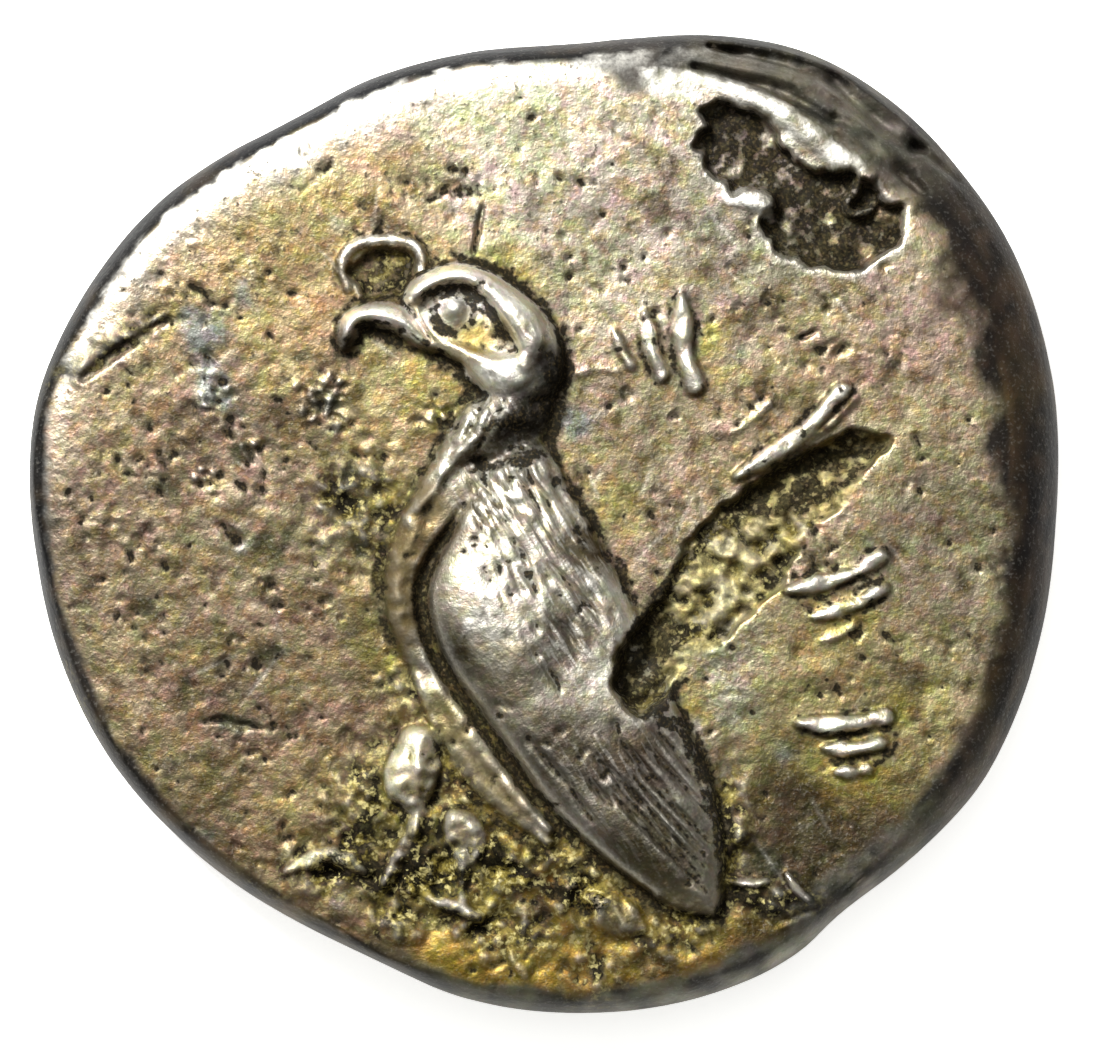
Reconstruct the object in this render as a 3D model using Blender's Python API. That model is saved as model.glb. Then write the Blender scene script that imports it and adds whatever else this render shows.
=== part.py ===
# A struck silver didrachm: one thick flan with a standing eagle in relief and, below, a shallow
# round hollow with a crab. Lies eagle up, underside on z = 0, origin under the flan's middle.
import bpy
import numpy as np

# Driving dimensions, in millimetres
FLAN_WIDTH = 20.64  # across, along X
FLAN_LENGTH = 19.64  # up the face, along Y
FACE_LEVEL = 2.95  # middle of the field above the underside
FACE_DOMING = 0.30  # how far the field falls towards the edge
WAIST_LEVEL = 1.30  # height at which the edge is widest
FOOT_INSET = 1.10  # from the widest line in to the flat that the coin rests on
EAGLE_HEIGHT = 13.10  # brow to tip of the tail
EAGLE_RELIEF = 0.85
STROKE_RELIEF = 0.24  # marks in the place of the inscription
GOUGE_DEPTH = 0.50
CRATER_DEPTH = 0.55
PUNCH_DEPTH = 0.28
SPLIT_DEPTH = 0.60  # deepest step of the split edge
HOLLOW_RADIUS = 7.20  # round hollow on the underside
HOLLOW_DEPTH = 0.45
HOLLOW_WALL = 0.55  # width of its sloping wall
CRAB_WIDTH = 9.00
CRAB_RELIEF = 0.34

# Drawings are made at these sizes and fitted to the ones above
DRAWN_WIDTH = 20.64
DRAWN_LENGTH = 19.64
DRAWN_EAGLE = 13.10
DRAWN_CRAB = 9.00

# Fineness of the model
PITCH = 0.05  # spacing of the height samples, mm
SOFTNESS = 0.06  # rounding of every corner of the relief, mm
ROUNDS = 110  # rings of the face, centre to waist
SHOULDER_ROUNDS = 12  # of which on the rounded shoulder
FOOT_ROUNDS = 6  # rings from the waist down to the foot
FACET_TARGET = 9600
LAND_SNAP = 0.02  # what lies this close to the rest plane lies on it, mm
MM = 0.001

# Outline: angle, reach and width of the rounded shoulder, both in hundredths of half the width
OUTLINE = [
    (0, 99.0, 9.5), (15, 102.0, 13.8), (30, 104.7, 15.5), (40, 105.2, 16.8), (50, 105.6, 13.2),
    (60, 104.3, 11.6), (70, 100.2, 9.1), (80, 95.0, 4.3), (90, 92.1, 2.9), (110, 92.2, 3.7),
    (122, 92.0, 3.4), (132, 94.6, 3.1), (140, 97.1, 3.7), (150, 99.0, 3.7), (165, 101.4, 2.4),
    (175, 100.6, 1.6), (185, 99.0, 2.9), (195, 98.0, 3.2), (210, 96.1, 3.1), (225, 93.4, 4.0),
    (240, 91.3, 3.7), (250, 91.5, 2.3), (260, 93.8, 4.3), (275, 95.9, 5.0), (290, 97.3, 6.2),
    (300, 97.0, 6.4), (308, 95.1, 4.8), (320, 97.1, 5.6), (330, 98.8, 7.8), (345, 98.6, 9.1),
]


def lattice():
    """Plane coordinates of the height samples, in mm."""
    half_x = 0.56 * FLAN_WIDTH
    half_y = 0.56 * FLAN_LENGTH
    return np.meshgrid(np.arange(-half_x, half_x, PITCH), np.arange(-half_y, half_y, PITCH))


def smooth_curve(points, closed=False, steps=6):
    """Points of a smooth line through the given rows; every column is interpolated."""
    p = np.array(points, float)
    if closed:
        p = np.vstack([p[-1:], p, p[:2]])
    else:
        p = np.vstack([2 * p[0] - p[1], p, 2 * p[-1] - p[-2]])
    t = np.linspace(0, 1, steps, endpoint=False)[:, None]
    spans = []
    for a, b, c, d in zip(p, p[1:], p[2:], p[3:]):
        spans.append(b + 0.5 * t * ((c - a) + t * (2 * a - 5 * b + 4 * c - d) + t * t * (3 * b - a - 3 * c + d)))
    line = np.vstack(spans)
    return np.vstack([line, line[:1] if closed else p[-2:-1]])


def nearest_on(line, x, y):
    """Distance from each place to the line, and where along it the nearest point is."""
    best = np.full(x.shape, np.inf)
    along = np.zeros(x.shape)
    for i, (a, b) in enumerate(zip(line[:-1, :2], line[1:, :2])):
        run = b - a
        length = max(run @ run, 1e-12)
        t = np.clip(((x - a[0]) * run[0] + (y - a[1]) * run[1]) / length, 0, 1)
        distance = (x - a[0] - t * run[0]) ** 2 + (y - a[1] - t * run[1]) ** 2
        closer = distance < best
        best[closer] = distance[closer]
        along[closer] = i + t[closer]
    return np.sqrt(best), along


def is_inside(line, x, y):
    """Whether each place lies inside the closed line."""
    odd = np.zeros(x.shape, bool)
    for (ax, ay), (bx, by) in zip(line[:-1], line[1:]):
        if ay != by:
            odd ^= ((ay > y) != (by > y)) & (x < (bx - ax) * (y - ay) / (by - ay) + ax)
    return odd


class Relief:
    """Heights drawn over the lattice, in the drawing's own units."""

    def __init__(self, across, up):
        x, y = lattice()
        self.x = x / across
        self.y = y / up
        self.level = np.zeros(x.shape)

    def window(self, line, reach):
        """Slices of the lattice that hold the line and its reach."""
        column = (self.x[0] > line[:, 0].min() - reach) & (self.x[0] < line[:, 0].max() + reach)
        row = (self.y[:, 0] > line[:, 1].min() - reach) & (self.y[:, 0] < line[:, 1].max() + reach)
        columns = np.flatnonzero(column)
        rows = np.flatnonzero(row)
        if not len(columns) or not len(rows):
            return slice(0, 0), slice(0, 0)
        return slice(rows[0], rows[-1] + 1), slice(columns[0], columns[-1] + 1)

    def bar(self, rows, height, crown=1.0):
        """A rounded bar. Rows: x, y, half width and, if it fades, the share of the height."""
        line = smooth_curve([row if len(row) == 4 else row + (1.0,) for row in rows])
        width = line[:, 2].clip(0.01)
        area = self.window(line, width.max())
        distance, along = nearest_on(line, self.x[area], self.y[area])
        places = np.arange(len(line))
        half = np.interp(along, places, width)
        share = np.interp(along, places, line[:, 3])
        return area, height * share * np.clip(1 - (distance / half) ** 2, 0, None) ** crown

    def pillow(self, outline, height, edge, power=2.0):
        """A swelling inside an outline: level in the middle, rounded over its edge."""
        line = smooth_curve(outline, closed=True)
        area = self.window(line, edge)
        x, y = self.x[area], self.y[area]
        distance, _ = nearest_on(line, x, y)
        rise = (1 - (1 - np.clip(distance / edge, 0, 1)) ** power) ** (1 / power)
        return area, np.where(is_inside(line, x, y), rise * height, 0)

    def dome(self, x, y, long, short, tilt, height, crown=0.5):
        """An oval dome, turned by tilt degrees."""
        c, s = np.cos(np.radians(tilt)), np.sin(np.radians(tilt))
        area = self.window(np.array([(x, y)]), max(long, short))
        dx, dy = self.x[area] - x, self.y[area] - y
        q = ((dx * c + dy * s) / long) ** 2 + ((dy * c - dx * s) / short) ** 2
        return area, height * np.clip(1 - q, 0, None) ** crown

    def lay_over(self, shape, soft=0.03):
        """Stands a shape on the ground, joined to what it meets with a soft crease."""
        area, height = shape
        old = self.level[area]
        k = np.clip(0.5 + 0.5 * (height - old) / soft, 0, 1)
        joined = old * (1 - k) + height * k + soft * k * (1 - k) * np.clip(height / soft, 0, 1)
        self.level[area] = np.where(height > 0, joined, old)

    def add(self, shape):
        area, height = shape
        self.level[area] += height

    def cut(self, shape):
        area, height = shape
        self.level[area] -= height


def breast(eagle):
    """The strip of breast and belly that shows left of the wing, and its folds."""
    eagle.lay_over(eagle.pillow([
        (-1.2, 1.5), (-2.05, 1.4), (-2.45, 0.95), (-2.75, 0.4), (-3.05, -0.3), (-3.2, -1.1), (-3.15, -1.8),
        (-2.9, -2.5), (-2.55, -3.1), (-2.2, -3.7), (-1.7, -4.6), (-0.5, -4.4), (0.5, -1.0), (0.2, 0.8)], 0.42, 0.62))
    eagle.add(eagle.bar([
        (-2.15, 0.95, 0.16, 0.1), (-2.4, 0.4, 0.24, 0.6), (-2.65, -0.1, 0.26), (-2.88, -0.6, 0.24),
        (-2.98, -1.15, 0.24), (-2.88, -1.75, 0.22), (-2.68, -2.4, 0.18, 0.6), (-2.35, -3.0, 0.12, 0.2)], 0.19))
    eagle.lay_over(eagle.bar([
        (-2.5, -2.9, 0.18), (-2.2, -3.6, 0.24), (-1.95, -4.1, 0.26), (-1.65, -4.6, 0.26), (-1.25, -5.15, 0.24),
        (-0.8, -5.6, 0.2), (-0.3, -6.0, 0.16), (0.1, -6.35, 0.1)], 0.42, 0.6))
    eagle.lay_over(eagle.bar([
        (-2.1, -3.3, 0.1), (-1.6, -4.05, 0.15), (-1.15, -4.65, 0.2), (-0.75, -5.15, 0.24), (-0.35, -5.6, 0.2),
        (0.1, -6.1, 0.12)], 0.5, 0.6))


def neck(eagle):
    eagle.lay_over(eagle.pillow([
        (-1.6, 3.0), (-1.2, 2.6), (-1.55, 2.35), (-1.85, 2.0), (-2.05, 1.6), (-2.3, 1.15), (-2.55, 0.7),
        (-2.8, 0.2), (-2.3, 0.1), (-1.75, 0.95), (-1.3, 1.15), (-0.7, 1.15), (-0.1, 1.1), (0.25, 1.2),
        (0.1, 1.6), (0.15, 2.1), (0.32, 2.7), (0.38, 3.3), (-0.6, 3.6)], 0.73, 0.6))


def wing(eagle):
    """Body, folded wing and tail in one swelling, with the wing's shoulder proud of it."""
    eagle.lay_over(eagle.pillow([
        (-1.35, 0.75), (-1.7, 0.3), (-2.0, -0.35), (-2.3, -1.0), (-2.4, -1.6), (-2.25, -2.3), (-1.95, -2.95),
        (-1.45, -3.7), (-0.85, -4.55), (-0.3, -5.3), (0.3, -6.0), (0.9, -6.55), (1.5, -7.05), (2.2, -7.5),
        (3.0, -7.8), (3.5, -7.75), (3.6, -7.1), (3.6, -6.3), (3.45, -5.4), (3.2, -4.75), (2.9, -4.15), (2.6, -3.5),
        (2.2, -2.6), (1.8, -1.7), (1.35, -0.8), (0.85, 0.1), (0.45, 0.75), (0.1, 1.15), (-0.5, 1.1)], 0.85, 1.15, 2.2))
    eagle.lay_over(eagle.pillow([
        (-1.6, -0.15), (-2.0, -0.75), (-2.25, -1.35), (-2.15, -2.1), (-1.75, -2.8), (-1.2, -3.5), (-0.5, -3.9),
        (0.3, -3.6), (0.9, -2.6), (0.9, -1.6), (0.3, -0.6), (-0.5, 0.1), (-1.1, 0.15)], 1.0, 1.5), 0.14)


def head(eagle):
    """Head with sunk eye socket, ringed eyeball, brow ridge, cheek and hooked beak."""
    eagle.lay_over(eagle.pillow([
        (-2.55, 4.15), (-2.65, 4.55), (-2.35, 4.9), (-1.95, 5.2), (-1.55, 5.25), (-1.0, 5.05), (-0.45, 4.7),
        (0.05, 4.3), (0.32, 3.85), (0.4, 3.4), (0.34, 2.8), (-0.3, 2.3), (-1.05, 2.5), (-1.35, 2.75), (-1.6, 3.1),
        (-1.9, 3.35), (-2.3, 3.65)], 0.78, 0.6, 2.2))
    socket, sunk = eagle.pillow([
        (-2.5, 4.15), (-2.45, 4.42), (-2.2, 4.68), (-1.85, 4.8), (-1.45, 4.74), (-1.15, 4.5), (-0.9, 4.15),
        (-0.65, 3.75), (-0.5, 3.4), (-0.95, 3.33), (-1.5, 3.46), (-2.0, 3.62), (-2.3, 3.85)], 1.0, 0.16)
    ground = eagle.level[socket]
    eagle.level[socket] = ground * (1 - sunk) + np.minimum(ground, 0.42) * sunk
    eagle.lay_over(eagle.dome(-1.83, 4.18, 0.46, 0.46, 0, 0.61, 0.35))
    eagle.lay_over(eagle.dome(-1.8, 4.33, 0.3, 0.27, 0, 0.82, 0.45))
    eagle.add(eagle.bar([
        (-2.62, 4.42, 0.16), (-2.5, 4.58, 0.2), (-2.2, 4.78, 0.17), (-1.85, 4.93, 0.15), (-1.45, 4.96, 0.17),
        (-1.05, 4.85, 0.24), (-0.65, 4.5, 0.34), (-0.35, 4.05, 0.32), (-0.25, 3.6, 0.26),
        (-0.35, 3.2, 0.2, 0.4)], 0.28, 0.7))
    eagle.add(eagle.pillow([
        (-1.7, 3.3), (-1.4, 3.42), (-0.95, 3.3), (-0.4, 3.4), (-0.2, 3.1), (-0.35, 2.75), (-0.9, 2.6),
        (-1.3, 2.8)], 0.14, 0.3))
    eagle.lay_over(eagle.pillow([
        (-4.0, 3.42), (-4.13, 3.65), (-4.1, 4.0), (-3.9, 4.25), (-3.5, 4.4), (-3.15, 4.43), (-2.85, 4.35),
        (-2.55, 4.12), (-2.3, 3.8), (-1.9, 3.62), (-1.6, 3.5), (-1.5, 3.15), (-1.75, 3.2), (-2.1, 3.4),
        (-2.5, 3.48), (-2.85, 3.72), (-3.3, 3.9), (-3.62, 3.93), (-3.72, 3.7), (-3.85, 3.5)], 0.65, 0.34))


def folds(eagle):
    """The deep line under the wing's leading edge and the fold at the neck's base."""
    eagle.cut(eagle.bar([
        (-1.6, 0.35, 0.08, 0.3), (-1.85, -0.1, 0.14, 0.6), (-2.2, -0.65, 0.18), (-2.42, -1.2, 0.2), (-2.4, -1.8, 0.2),
        (-2.2, -2.45, 0.2), (-1.9, -3.05, 0.2), (-1.45, -3.65, 0.2), (-0.5, -4.95, 0.2), (0.05, -5.7, 0.18),
        (0.7, -6.35, 0.16), (1.4, -6.95, 0.14), (2.1, -7.45, 0.12)], 0.33))
    eagle.cut(eagle.bar([
        (-1.7, 0.9, 0.1, 0.4), (-1.35, 1.0, 0.16), (-0.9, 1.12, 0.24), (-0.4, 1.22, 0.28), (0.1, 1.2, 0.22),
        (0.35, 1.1, 0.1, 0.3)], 0.26))


def feathers(eagle):
    """Tail feathers, cut as long grooves side by side, and the longest streaks of the shoulder."""
    tail = [(1.4, -5.4, 3.2, -7.3), (1.6, -5.1, 3.1, -6.75), (1.9, -4.9, 3.2, -6.2), (2.1, -4.45, 3.2, -5.7),
            (2.2, -4.05, 3.05, -5.1)]
    shoulder = [(-1.2, 0.75, -0.75, 0.0), (-0.55, 0.95, 0.05, 0.0), (0.05, 0.95, 0.8, -0.25), (0.2, -0.3, 1.25, -1.4),
                (0.1, -0.8, 1.1, -1.95), (0.25, -1.9, 0.7, -2.7)]
    for x0, y0, x1, y1 in tail + shoulder:
        middle = ((x0 + x1) / 2 - 0.04, (y0 + y1) / 2 - 0.04, 0.12)
        eagle.cut(eagle.bar([(x0, y0, 0.06, 0.5), middle, (x1, y1, 0.06, 0.5)], 0.2))


def legs(eagle):
    """Two feathered thighs with shank and toes, worn lumps beside them, and the ground line."""
    eagle.lay_over(eagle.pillow([
        (-2.45, -3.95), (-2.8, -4.2), (-2.85, -4.7), (-3.15, -5.05), (-3.1, -5.4), (-2.75, -5.75), (-2.5, -5.95),
        (-2.3, -5.6), (-2.15, -5.1), (-2.1, -4.5), (-2.15, -4.1)], 0.59, 0.4))
    eagle.lay_over(eagle.pillow([
        (-1.95, -5.75), (-2.0, -6.3), (-1.8, -6.75), (-1.55, -6.95), (-1.2, -6.6), (-1.15, -6.1),
        (-1.5, -5.7)], 0.49, 0.35))
    for rows, height in (
        ([(-2.5, -5.7, 0.16), (-2.65, -6.2, 0.13), (-2.9, -6.65, 0.13), (-3.15, -7.1, 0.12)], 0.4),
        ([(-5.15, -6.92, 0.06), (-4.75, -6.75, 0.17), (-4.35, -6.62, 0.2), (-3.95, -6.7, 0.22), (-3.55, -6.95, 0.14)], 0.3),
        ([(-1.6, -6.7, 0.16), (-1.62, -7.1, 0.1), (-1.62, -7.55, 0.09)], 0.3),
        ([(-2.35, -7.45, 0.08), (-1.95, -7.58, 0.13), (-1.7, -7.66, 0.14), (-1.25, -7.88, 0.08)], 0.3),
        ([(3.7, -7.12, 0.08), (4.1, -7.18, 0.1), (4.45, -7.12, 0.07)], 0.24),
        ([(4.85, -7.0, 0.05), (5.05, -7.3, 0.09), (5.35, -7.55, 0.06)], 0.24),
    ):
        eagle.lay_over(eagle.bar(rows, height, 0.6))
    eagle.lay_over(eagle.dome(-2.75, -8.15, 0.4, 0.25, -10, 0.24))
    eagle.lay_over(eagle.dome(1.5, -7.85, 0.6, 0.42, -25, 0.28))


def eagle_relief():
    scale = EAGLE_HEIGHT / DRAWN_EAGLE
    eagle = Relief(scale, scale)
    breast(eagle)
    neck(eagle)
    wing(eagle)
    head(eagle)
    folds(eagle)
    feathers(eagle)
    legs(eagle)
    return eagle.level * EAGLE_RELIEF


def face_relief():
    """A drawing sheet that is fitted to the flan, for what keeps its place on the face."""
    return Relief(FLAN_WIDTH / DRAWN_WIDTH, FLAN_LENGTH / DRAWN_LENGTH)


def stroke_relief():
    """Rows of short strokes in the inscription's place; none of them is a letter."""
    face = face_relief()
    rows = [  # start, end, half width, share of the height
        [(1.35, 3.75, 1.75, 3.2, 0.07, 0.4), (1.95, 4.1, 2.3, 3.05, 0.1, 0.75), (2.65, 4.45, 3.05, 2.8, 0.14, 1.0)],
        [(3.7, 0.95, 5.8, 2.6, 0.13, 0.9), (3.6, 1.55, 4.6, 2.3, 0.06, 0.3)],
        [(4.85, -1.3, 6.65, -0.62, 0.13, 0.9), (5.35, -1.72, 6.35, -1.35, 0.09, 0.7), (5.9, -2.0, 6.5, -1.8, 0.06, 0.4)],
        [(5.1, -3.95, 6.7, -3.85, 0.14, 1.0), (5.45, -4.35, 6.55, -4.28, 0.1, 0.7), (5.9, -4.75, 6.3, -4.72, 0.09, 0.7)],
    ]
    for row in rows:
        for x0, y0, x1, y1, half, share in row:
            middle = ((x0 + x1) / 2 + 0.05 * (y1 - y0), (y0 + y1) / 2 - 0.05 * (x1 - x0), half)
            face.lay_over(face.bar([(x0, y0, 0.6 * half), middle, (x1, y1, 0.6 * half)], share, 0.7))
    return face.level * STROKE_RELIEF


def damage(level, field):
    """A deep gouge behind the eagle, a crater at the edge and a small punch by the beak."""
    face = face_relief()
    area, dig = face.pillow([
        (6.9, 1.6), (6.1, 1.6), (5.2, 1.3), (4.7, 1.25), (4.3, 0.7), (3.8, 0.2), (3.2, -0.1), (2.75, -0.6), (2.2, -1.4),
        (1.8, -2.0), (1.4, -2.6), (1.4, -3.15), (1.8, -3.55), (2.0, -3.9), (2.2, -3.5), (2.75, -2.95), (3.1, -2.4),
        (3.8, -2.2), (4.45, -1.85), (4.8, -1.0), (5.2, -0.3), (5.9, 0.4), (6.5, 1.1)], 1.0, 0.4, 1.6)
    level[area] -= dig * np.clip(level[area] - field[area] + GOUGE_DEPTH, 0, None)
    area, dig = face.pillow([
        (3.1, 8.3), (3.7, 8.42), (4.2, 8.25), (4.7, 7.75), (5.2, 7.25), (5.7, 6.95), (6.3, 7.0), (6.6, 6.7), (7.1, 6.3),
        (6.95, 5.6), (6.4, 5.2), (5.8, 5.08), (5.2, 5.2), (4.6, 5.55), (4.42, 6.0), (4.55, 6.5), (4.0, 6.55),
        (3.65, 6.68), (3.4, 7.1), (3.0, 7.6)], CRATER_DEPTH, 0.4, 1.4)
    level[area] -= dig
    area, dig = face.pillow([
        (-3.85, 5.28), (-3.3, 5.42), (-2.68, 5.4), (-2.62, 5.05), (-2.85, 4.6), (-3.25, 4.5), (-3.6, 4.62),
        (-3.85, 5.0)], PUNCH_DEPTH, 0.15, 1.6)
    level[area] -= dig


def split_edge():
    """Depth of the cracks and of the step along the flan's split edge, upper right."""
    face = face_relief()
    for rows, depth in (
        ([(3.0, 9.15, 0.1), (4.3, 8.75, 0.2), (5.1, 8.45, 0.24), (5.8, 8.0, 0.16)], 0.5),
        ([(5.8, 8.15, 0.1), (6.4, 7.75, 0.2), (7.1, 7.05, 0.2), (7.6, 6.6, 0.1)], 0.45),
        ([(3.3, 9.55, 0.1), (4.6, 9.3, 0.2), (5.7, 8.85, 0.24), (6.5, 8.2, 0.28), (7.2, 7.6, 0.3), (7.6, 7.5, 0.12)], 0.9),
    ):
        face.add(face.bar(rows, depth * SPLIT_DEPTH))
    return face.level


def soften(level):
    """Rounds the relief's corners, as a worn die leaves them."""
    wave_y = np.fft.fftfreq(level.shape[0])[:, None]
    wave_x = np.fft.rfftfreq(level.shape[1])[None, :]
    keep = np.exp(-2 * (np.pi * SOFTNESS / PITCH) ** 2 * (wave_x**2 + wave_y**2))
    return np.fft.irfft2(np.fft.rfft2(level) * keep, level.shape)


def face_level():
    """Height of the struck face over the whole lattice."""
    x, y = lattice()
    field = FACE_LEVEL - FACE_DOMING * ((x / (FLAN_WIDTH / 2)) ** 2 + (y / (FLAN_LENGTH / 2)) ** 2)
    level = field + np.maximum(eagle_relief(), stroke_relief())
    damage(level, field)
    return soften(level)


def underside_level():
    """Height of the underside: flat land at zero round a shallow hollow with a plain crab."""
    x, y = lattice()
    wall = np.clip((HOLLOW_RADIUS - np.hypot(x, y)) / HOLLOW_WALL, 0, 1)
    level = HOLLOW_DEPTH * wall * wall * (3 - 2 * wall)
    scale = CRAB_WIDTH / DRAWN_CRAB
    crab = Relief(scale, scale)
    crab.lay_over(crab.dome(0, 0, 2.3, 1.7, 0, 1.0, 0.4))
    for side in (-1, 1):
        crab.lay_over(crab.bar([(1.5 * side, 1.0, 0.3), (2.9 * side, 1.7, 0.32), (3.1 * side, 2.9, 0.42),
                                (1.9 * side, 3.9, 0.2)], 0.9, 0.5))
        for i in range(4):
            out = 4.4 - 0.35 * i
            crab.lay_over(crab.bar([(1.7 * side, 0.3 - 0.4 * i, 0.2), (3.0 * side, 0.5 - 0.75 * i, 0.18),
                                    (out * side, -0.3 - 1.0 * i, 0.1)], 0.7, 0.5))
    return level - np.minimum(crab.level * CRAB_RELIEF, level)


def sample(level, x, y):
    """Bilinear reading of the heights at any place, in mm."""
    grid_x, grid_y = lattice()
    u = (x - grid_x[0, 0]) / PITCH
    v = (y - grid_y[0, 0]) / PITCH
    i = np.clip(u.astype(int), 0, level.shape[1] - 2)
    j = np.clip(v.astype(int), 0, level.shape[0] - 2)
    u, v = u - i, v - j
    low = level[j, i] * (1 - u) + level[j, i + 1] * u
    high = level[j + 1, i] * (1 - u) + level[j + 1, i + 1] * u
    return low * (1 - v) + high * v


def outline_at(angle):
    """Widest line and inner end of the shoulder at each angle in degrees, in mm, as plane points."""
    rows = [(a - 360, r, s) for a, r, s in OUTLINE[-2:]] + OUTLINE + [(a + 360, r, s) for a, r, s in OUTLINE[:2]]
    line = smooth_curve(rows)
    full = np.arange(0, 360, 0.5)
    reach = np.interp(full, line[:, 0], line[:, 1])
    px, py = reach * np.cos(np.radians(full)), reach * np.sin(np.radians(full))
    fit_x, fit_y = FLAN_WIDTH / np.ptp(px), FLAN_LENGTH / np.ptp(py)
    mid_x, mid_y = (px.max() + px.min()) / 2, (py.max() + py.min()) / 2
    turn = angle % 360
    r, s = np.interp(turn, line[:, 0], line[:, 1]), np.interp(turn, line[:, 0], line[:, 2])
    c, n = np.cos(np.radians(angle)), np.sin(np.radians(angle))
    waist = np.stack([(r * c - mid_x) * fit_x, (r * n - mid_y) * fit_y], axis=-1)
    return waist, waist * (1 - s / r)[..., None]


def disc_grid(rounds):
    """A square grid bent to a disc: each vertex's angle in degrees and share of the way out."""
    u, v = np.meshgrid(np.linspace(-1, 1, 2 * rounds + 1), np.linspace(-1, 1, 2 * rounds + 1))
    share = np.maximum(np.abs(u), np.abs(v))
    flat = np.abs(u) >= np.abs(v)
    with np.errstate(divide="ignore", invalid="ignore"):
        angle = np.where(flat, 45 * v / u + np.where(u < 0, 180, 0), 90 - 45 * u / v + np.where(v < 0, 180, 0))
    return np.where(share > 0, angle, 0.0), share


def rim_order(rounds):
    """Row and column of the disc grid's outer vertices, once round."""
    last = 2 * rounds
    steps = np.arange(last)
    rows = np.concatenate([steps, np.full(last, last), last - steps, np.zeros(last, int)])
    columns = np.concatenate([np.full(last, last), last - steps, np.zeros(last, int), steps])
    return rows, columns


def upper_points(level):
    """Face and shoulder, out to the widest line."""
    angle, share = disc_grid(ROUNDS)
    waist, shoulder = outline_at(angle)
    start = 1 - SHOULDER_ROUNDS / ROUNDS
    turn = np.clip((share - start) / (1 - start), 0, 1) * np.pi / 2
    inner = np.minimum(share / start, 1)[..., None]
    place = np.where(turn[..., None] > 0, shoulder + (waist - shoulder) * np.sin(turn)[..., None], shoulder * inner)
    z = WAIST_LEVEL + (sample(level, place[..., 0], place[..., 1]) - WAIST_LEVEL) * np.cos(turn)
    z -= sample(soften(split_edge()), place[..., 0], place[..., 1]) * np.where(share < 1, np.cos(turn) ** 0.5, 0)
    return np.dstack([place, z])


def lower_points(level):
    """Underside, out to the foot; what is on the land lies exactly on zero."""
    angle, share = disc_grid(ROUNDS)
    waist, _ = outline_at(angle)
    foot = waist * (1 - FOOT_INSET / np.linalg.norm(waist, axis=-1, keepdims=True))
    place = foot * share[..., None]
    return np.dstack([place, sample(level, place[..., 0], place[..., 1])])


def edge_points(above, below):
    """Rings between the waist and the foot, on a quarter of an oval."""
    rings = []
    for k in range(1, FOOT_ROUNDS):
        turn = 0.5 * np.pi * k / FOOT_ROUNDS
        plane = below[:, :2] + (above[:, :2] - below[:, :2]) * np.cos(turn)
        rings.append(np.column_stack([plane, np.full(len(plane), WAIST_LEVEL * (1 - np.sin(turn)))]))
    return rings


def grid_faces(start, side):
    """Quads of a square grid whose vertices are numbered row by row from start."""
    rows, columns = np.meshgrid(np.arange(side - 1), np.arange(side - 1), indexing="ij")
    first = (start + rows * side + columns).ravel()
    return np.column_stack([first, first + 1, first + side + 1, first + side])


def coin_mesh():
    """One closed skin: face, edge and underside."""
    upper = upper_points(face_level())
    lower = lower_points(underside_level())
    side = 2 * ROUNDS + 1
    rows, columns = rim_order(ROUNDS)
    rings = edge_points(upper[rows, columns], lower[rows, columns])
    points = np.vstack([upper.reshape(-1, 3), lower.reshape(-1, 3)] + rings)
    faces = [grid_faces(0, side), grid_faces(side * side, side)[:, ::-1]]
    loops = [rows * side + columns]
    loops += [2 * side * side + k * len(rows) + np.arange(len(rows)) for k in range(len(rings))]
    loops.append(side * side + rows * side + columns)
    for high, low in zip(loops[:-1], loops[1:]):
        faces.append(np.column_stack([high, low, np.roll(low, -1), np.roll(high, -1)]))
    mesh = bpy.data.meshes.new("coin")
    mesh.from_pydata((points * MM).tolist(), [], np.vstack(faces).tolist())
    mesh.shade_smooth()
    return mesh


def silver():
    material = bpy.data.materials.new("toned silver")
    material.use_nodes = True
    shader = material.node_tree.nodes["Principled BSDF"]
    shader.inputs["Base Color"].default_value = (0.42, 0.37, 0.27, 1.0)
    shader.inputs["Metallic"].default_value = 1.0
    shader.inputs["Roughness"].default_value = 0.42
    return material


def thinned(flan):
    """The skin with as few facets as its relief needs, and the land laid flat again."""
    thin = flan.modifiers.new("facets", "DECIMATE")
    thin.ratio = min(1.0, FACET_TARGET / (2 * len(flan.data.polygons)))
    view = bpy.context.evaluated_depsgraph_get()
    mesh = bpy.data.meshes.new_from_object(flan.evaluated_get(view))
    flan.modifiers.clear()
    for vertex in mesh.vertices:
        if vertex.co.z < LAND_SNAP * MM:
            vertex.co.z = 0.0
    return mesh


def coin():
    mesh = coin_mesh()
    mesh.materials.append(silver())
    flan = bpy.data.objects.new("coin", mesh)
    bpy.context.collection.objects.link(flan)
    flan.data = thinned(flan)
    flan.data.name = "coin"


for old in list(bpy.data.objects):
    bpy.data.objects.remove(old)
coin()
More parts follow.
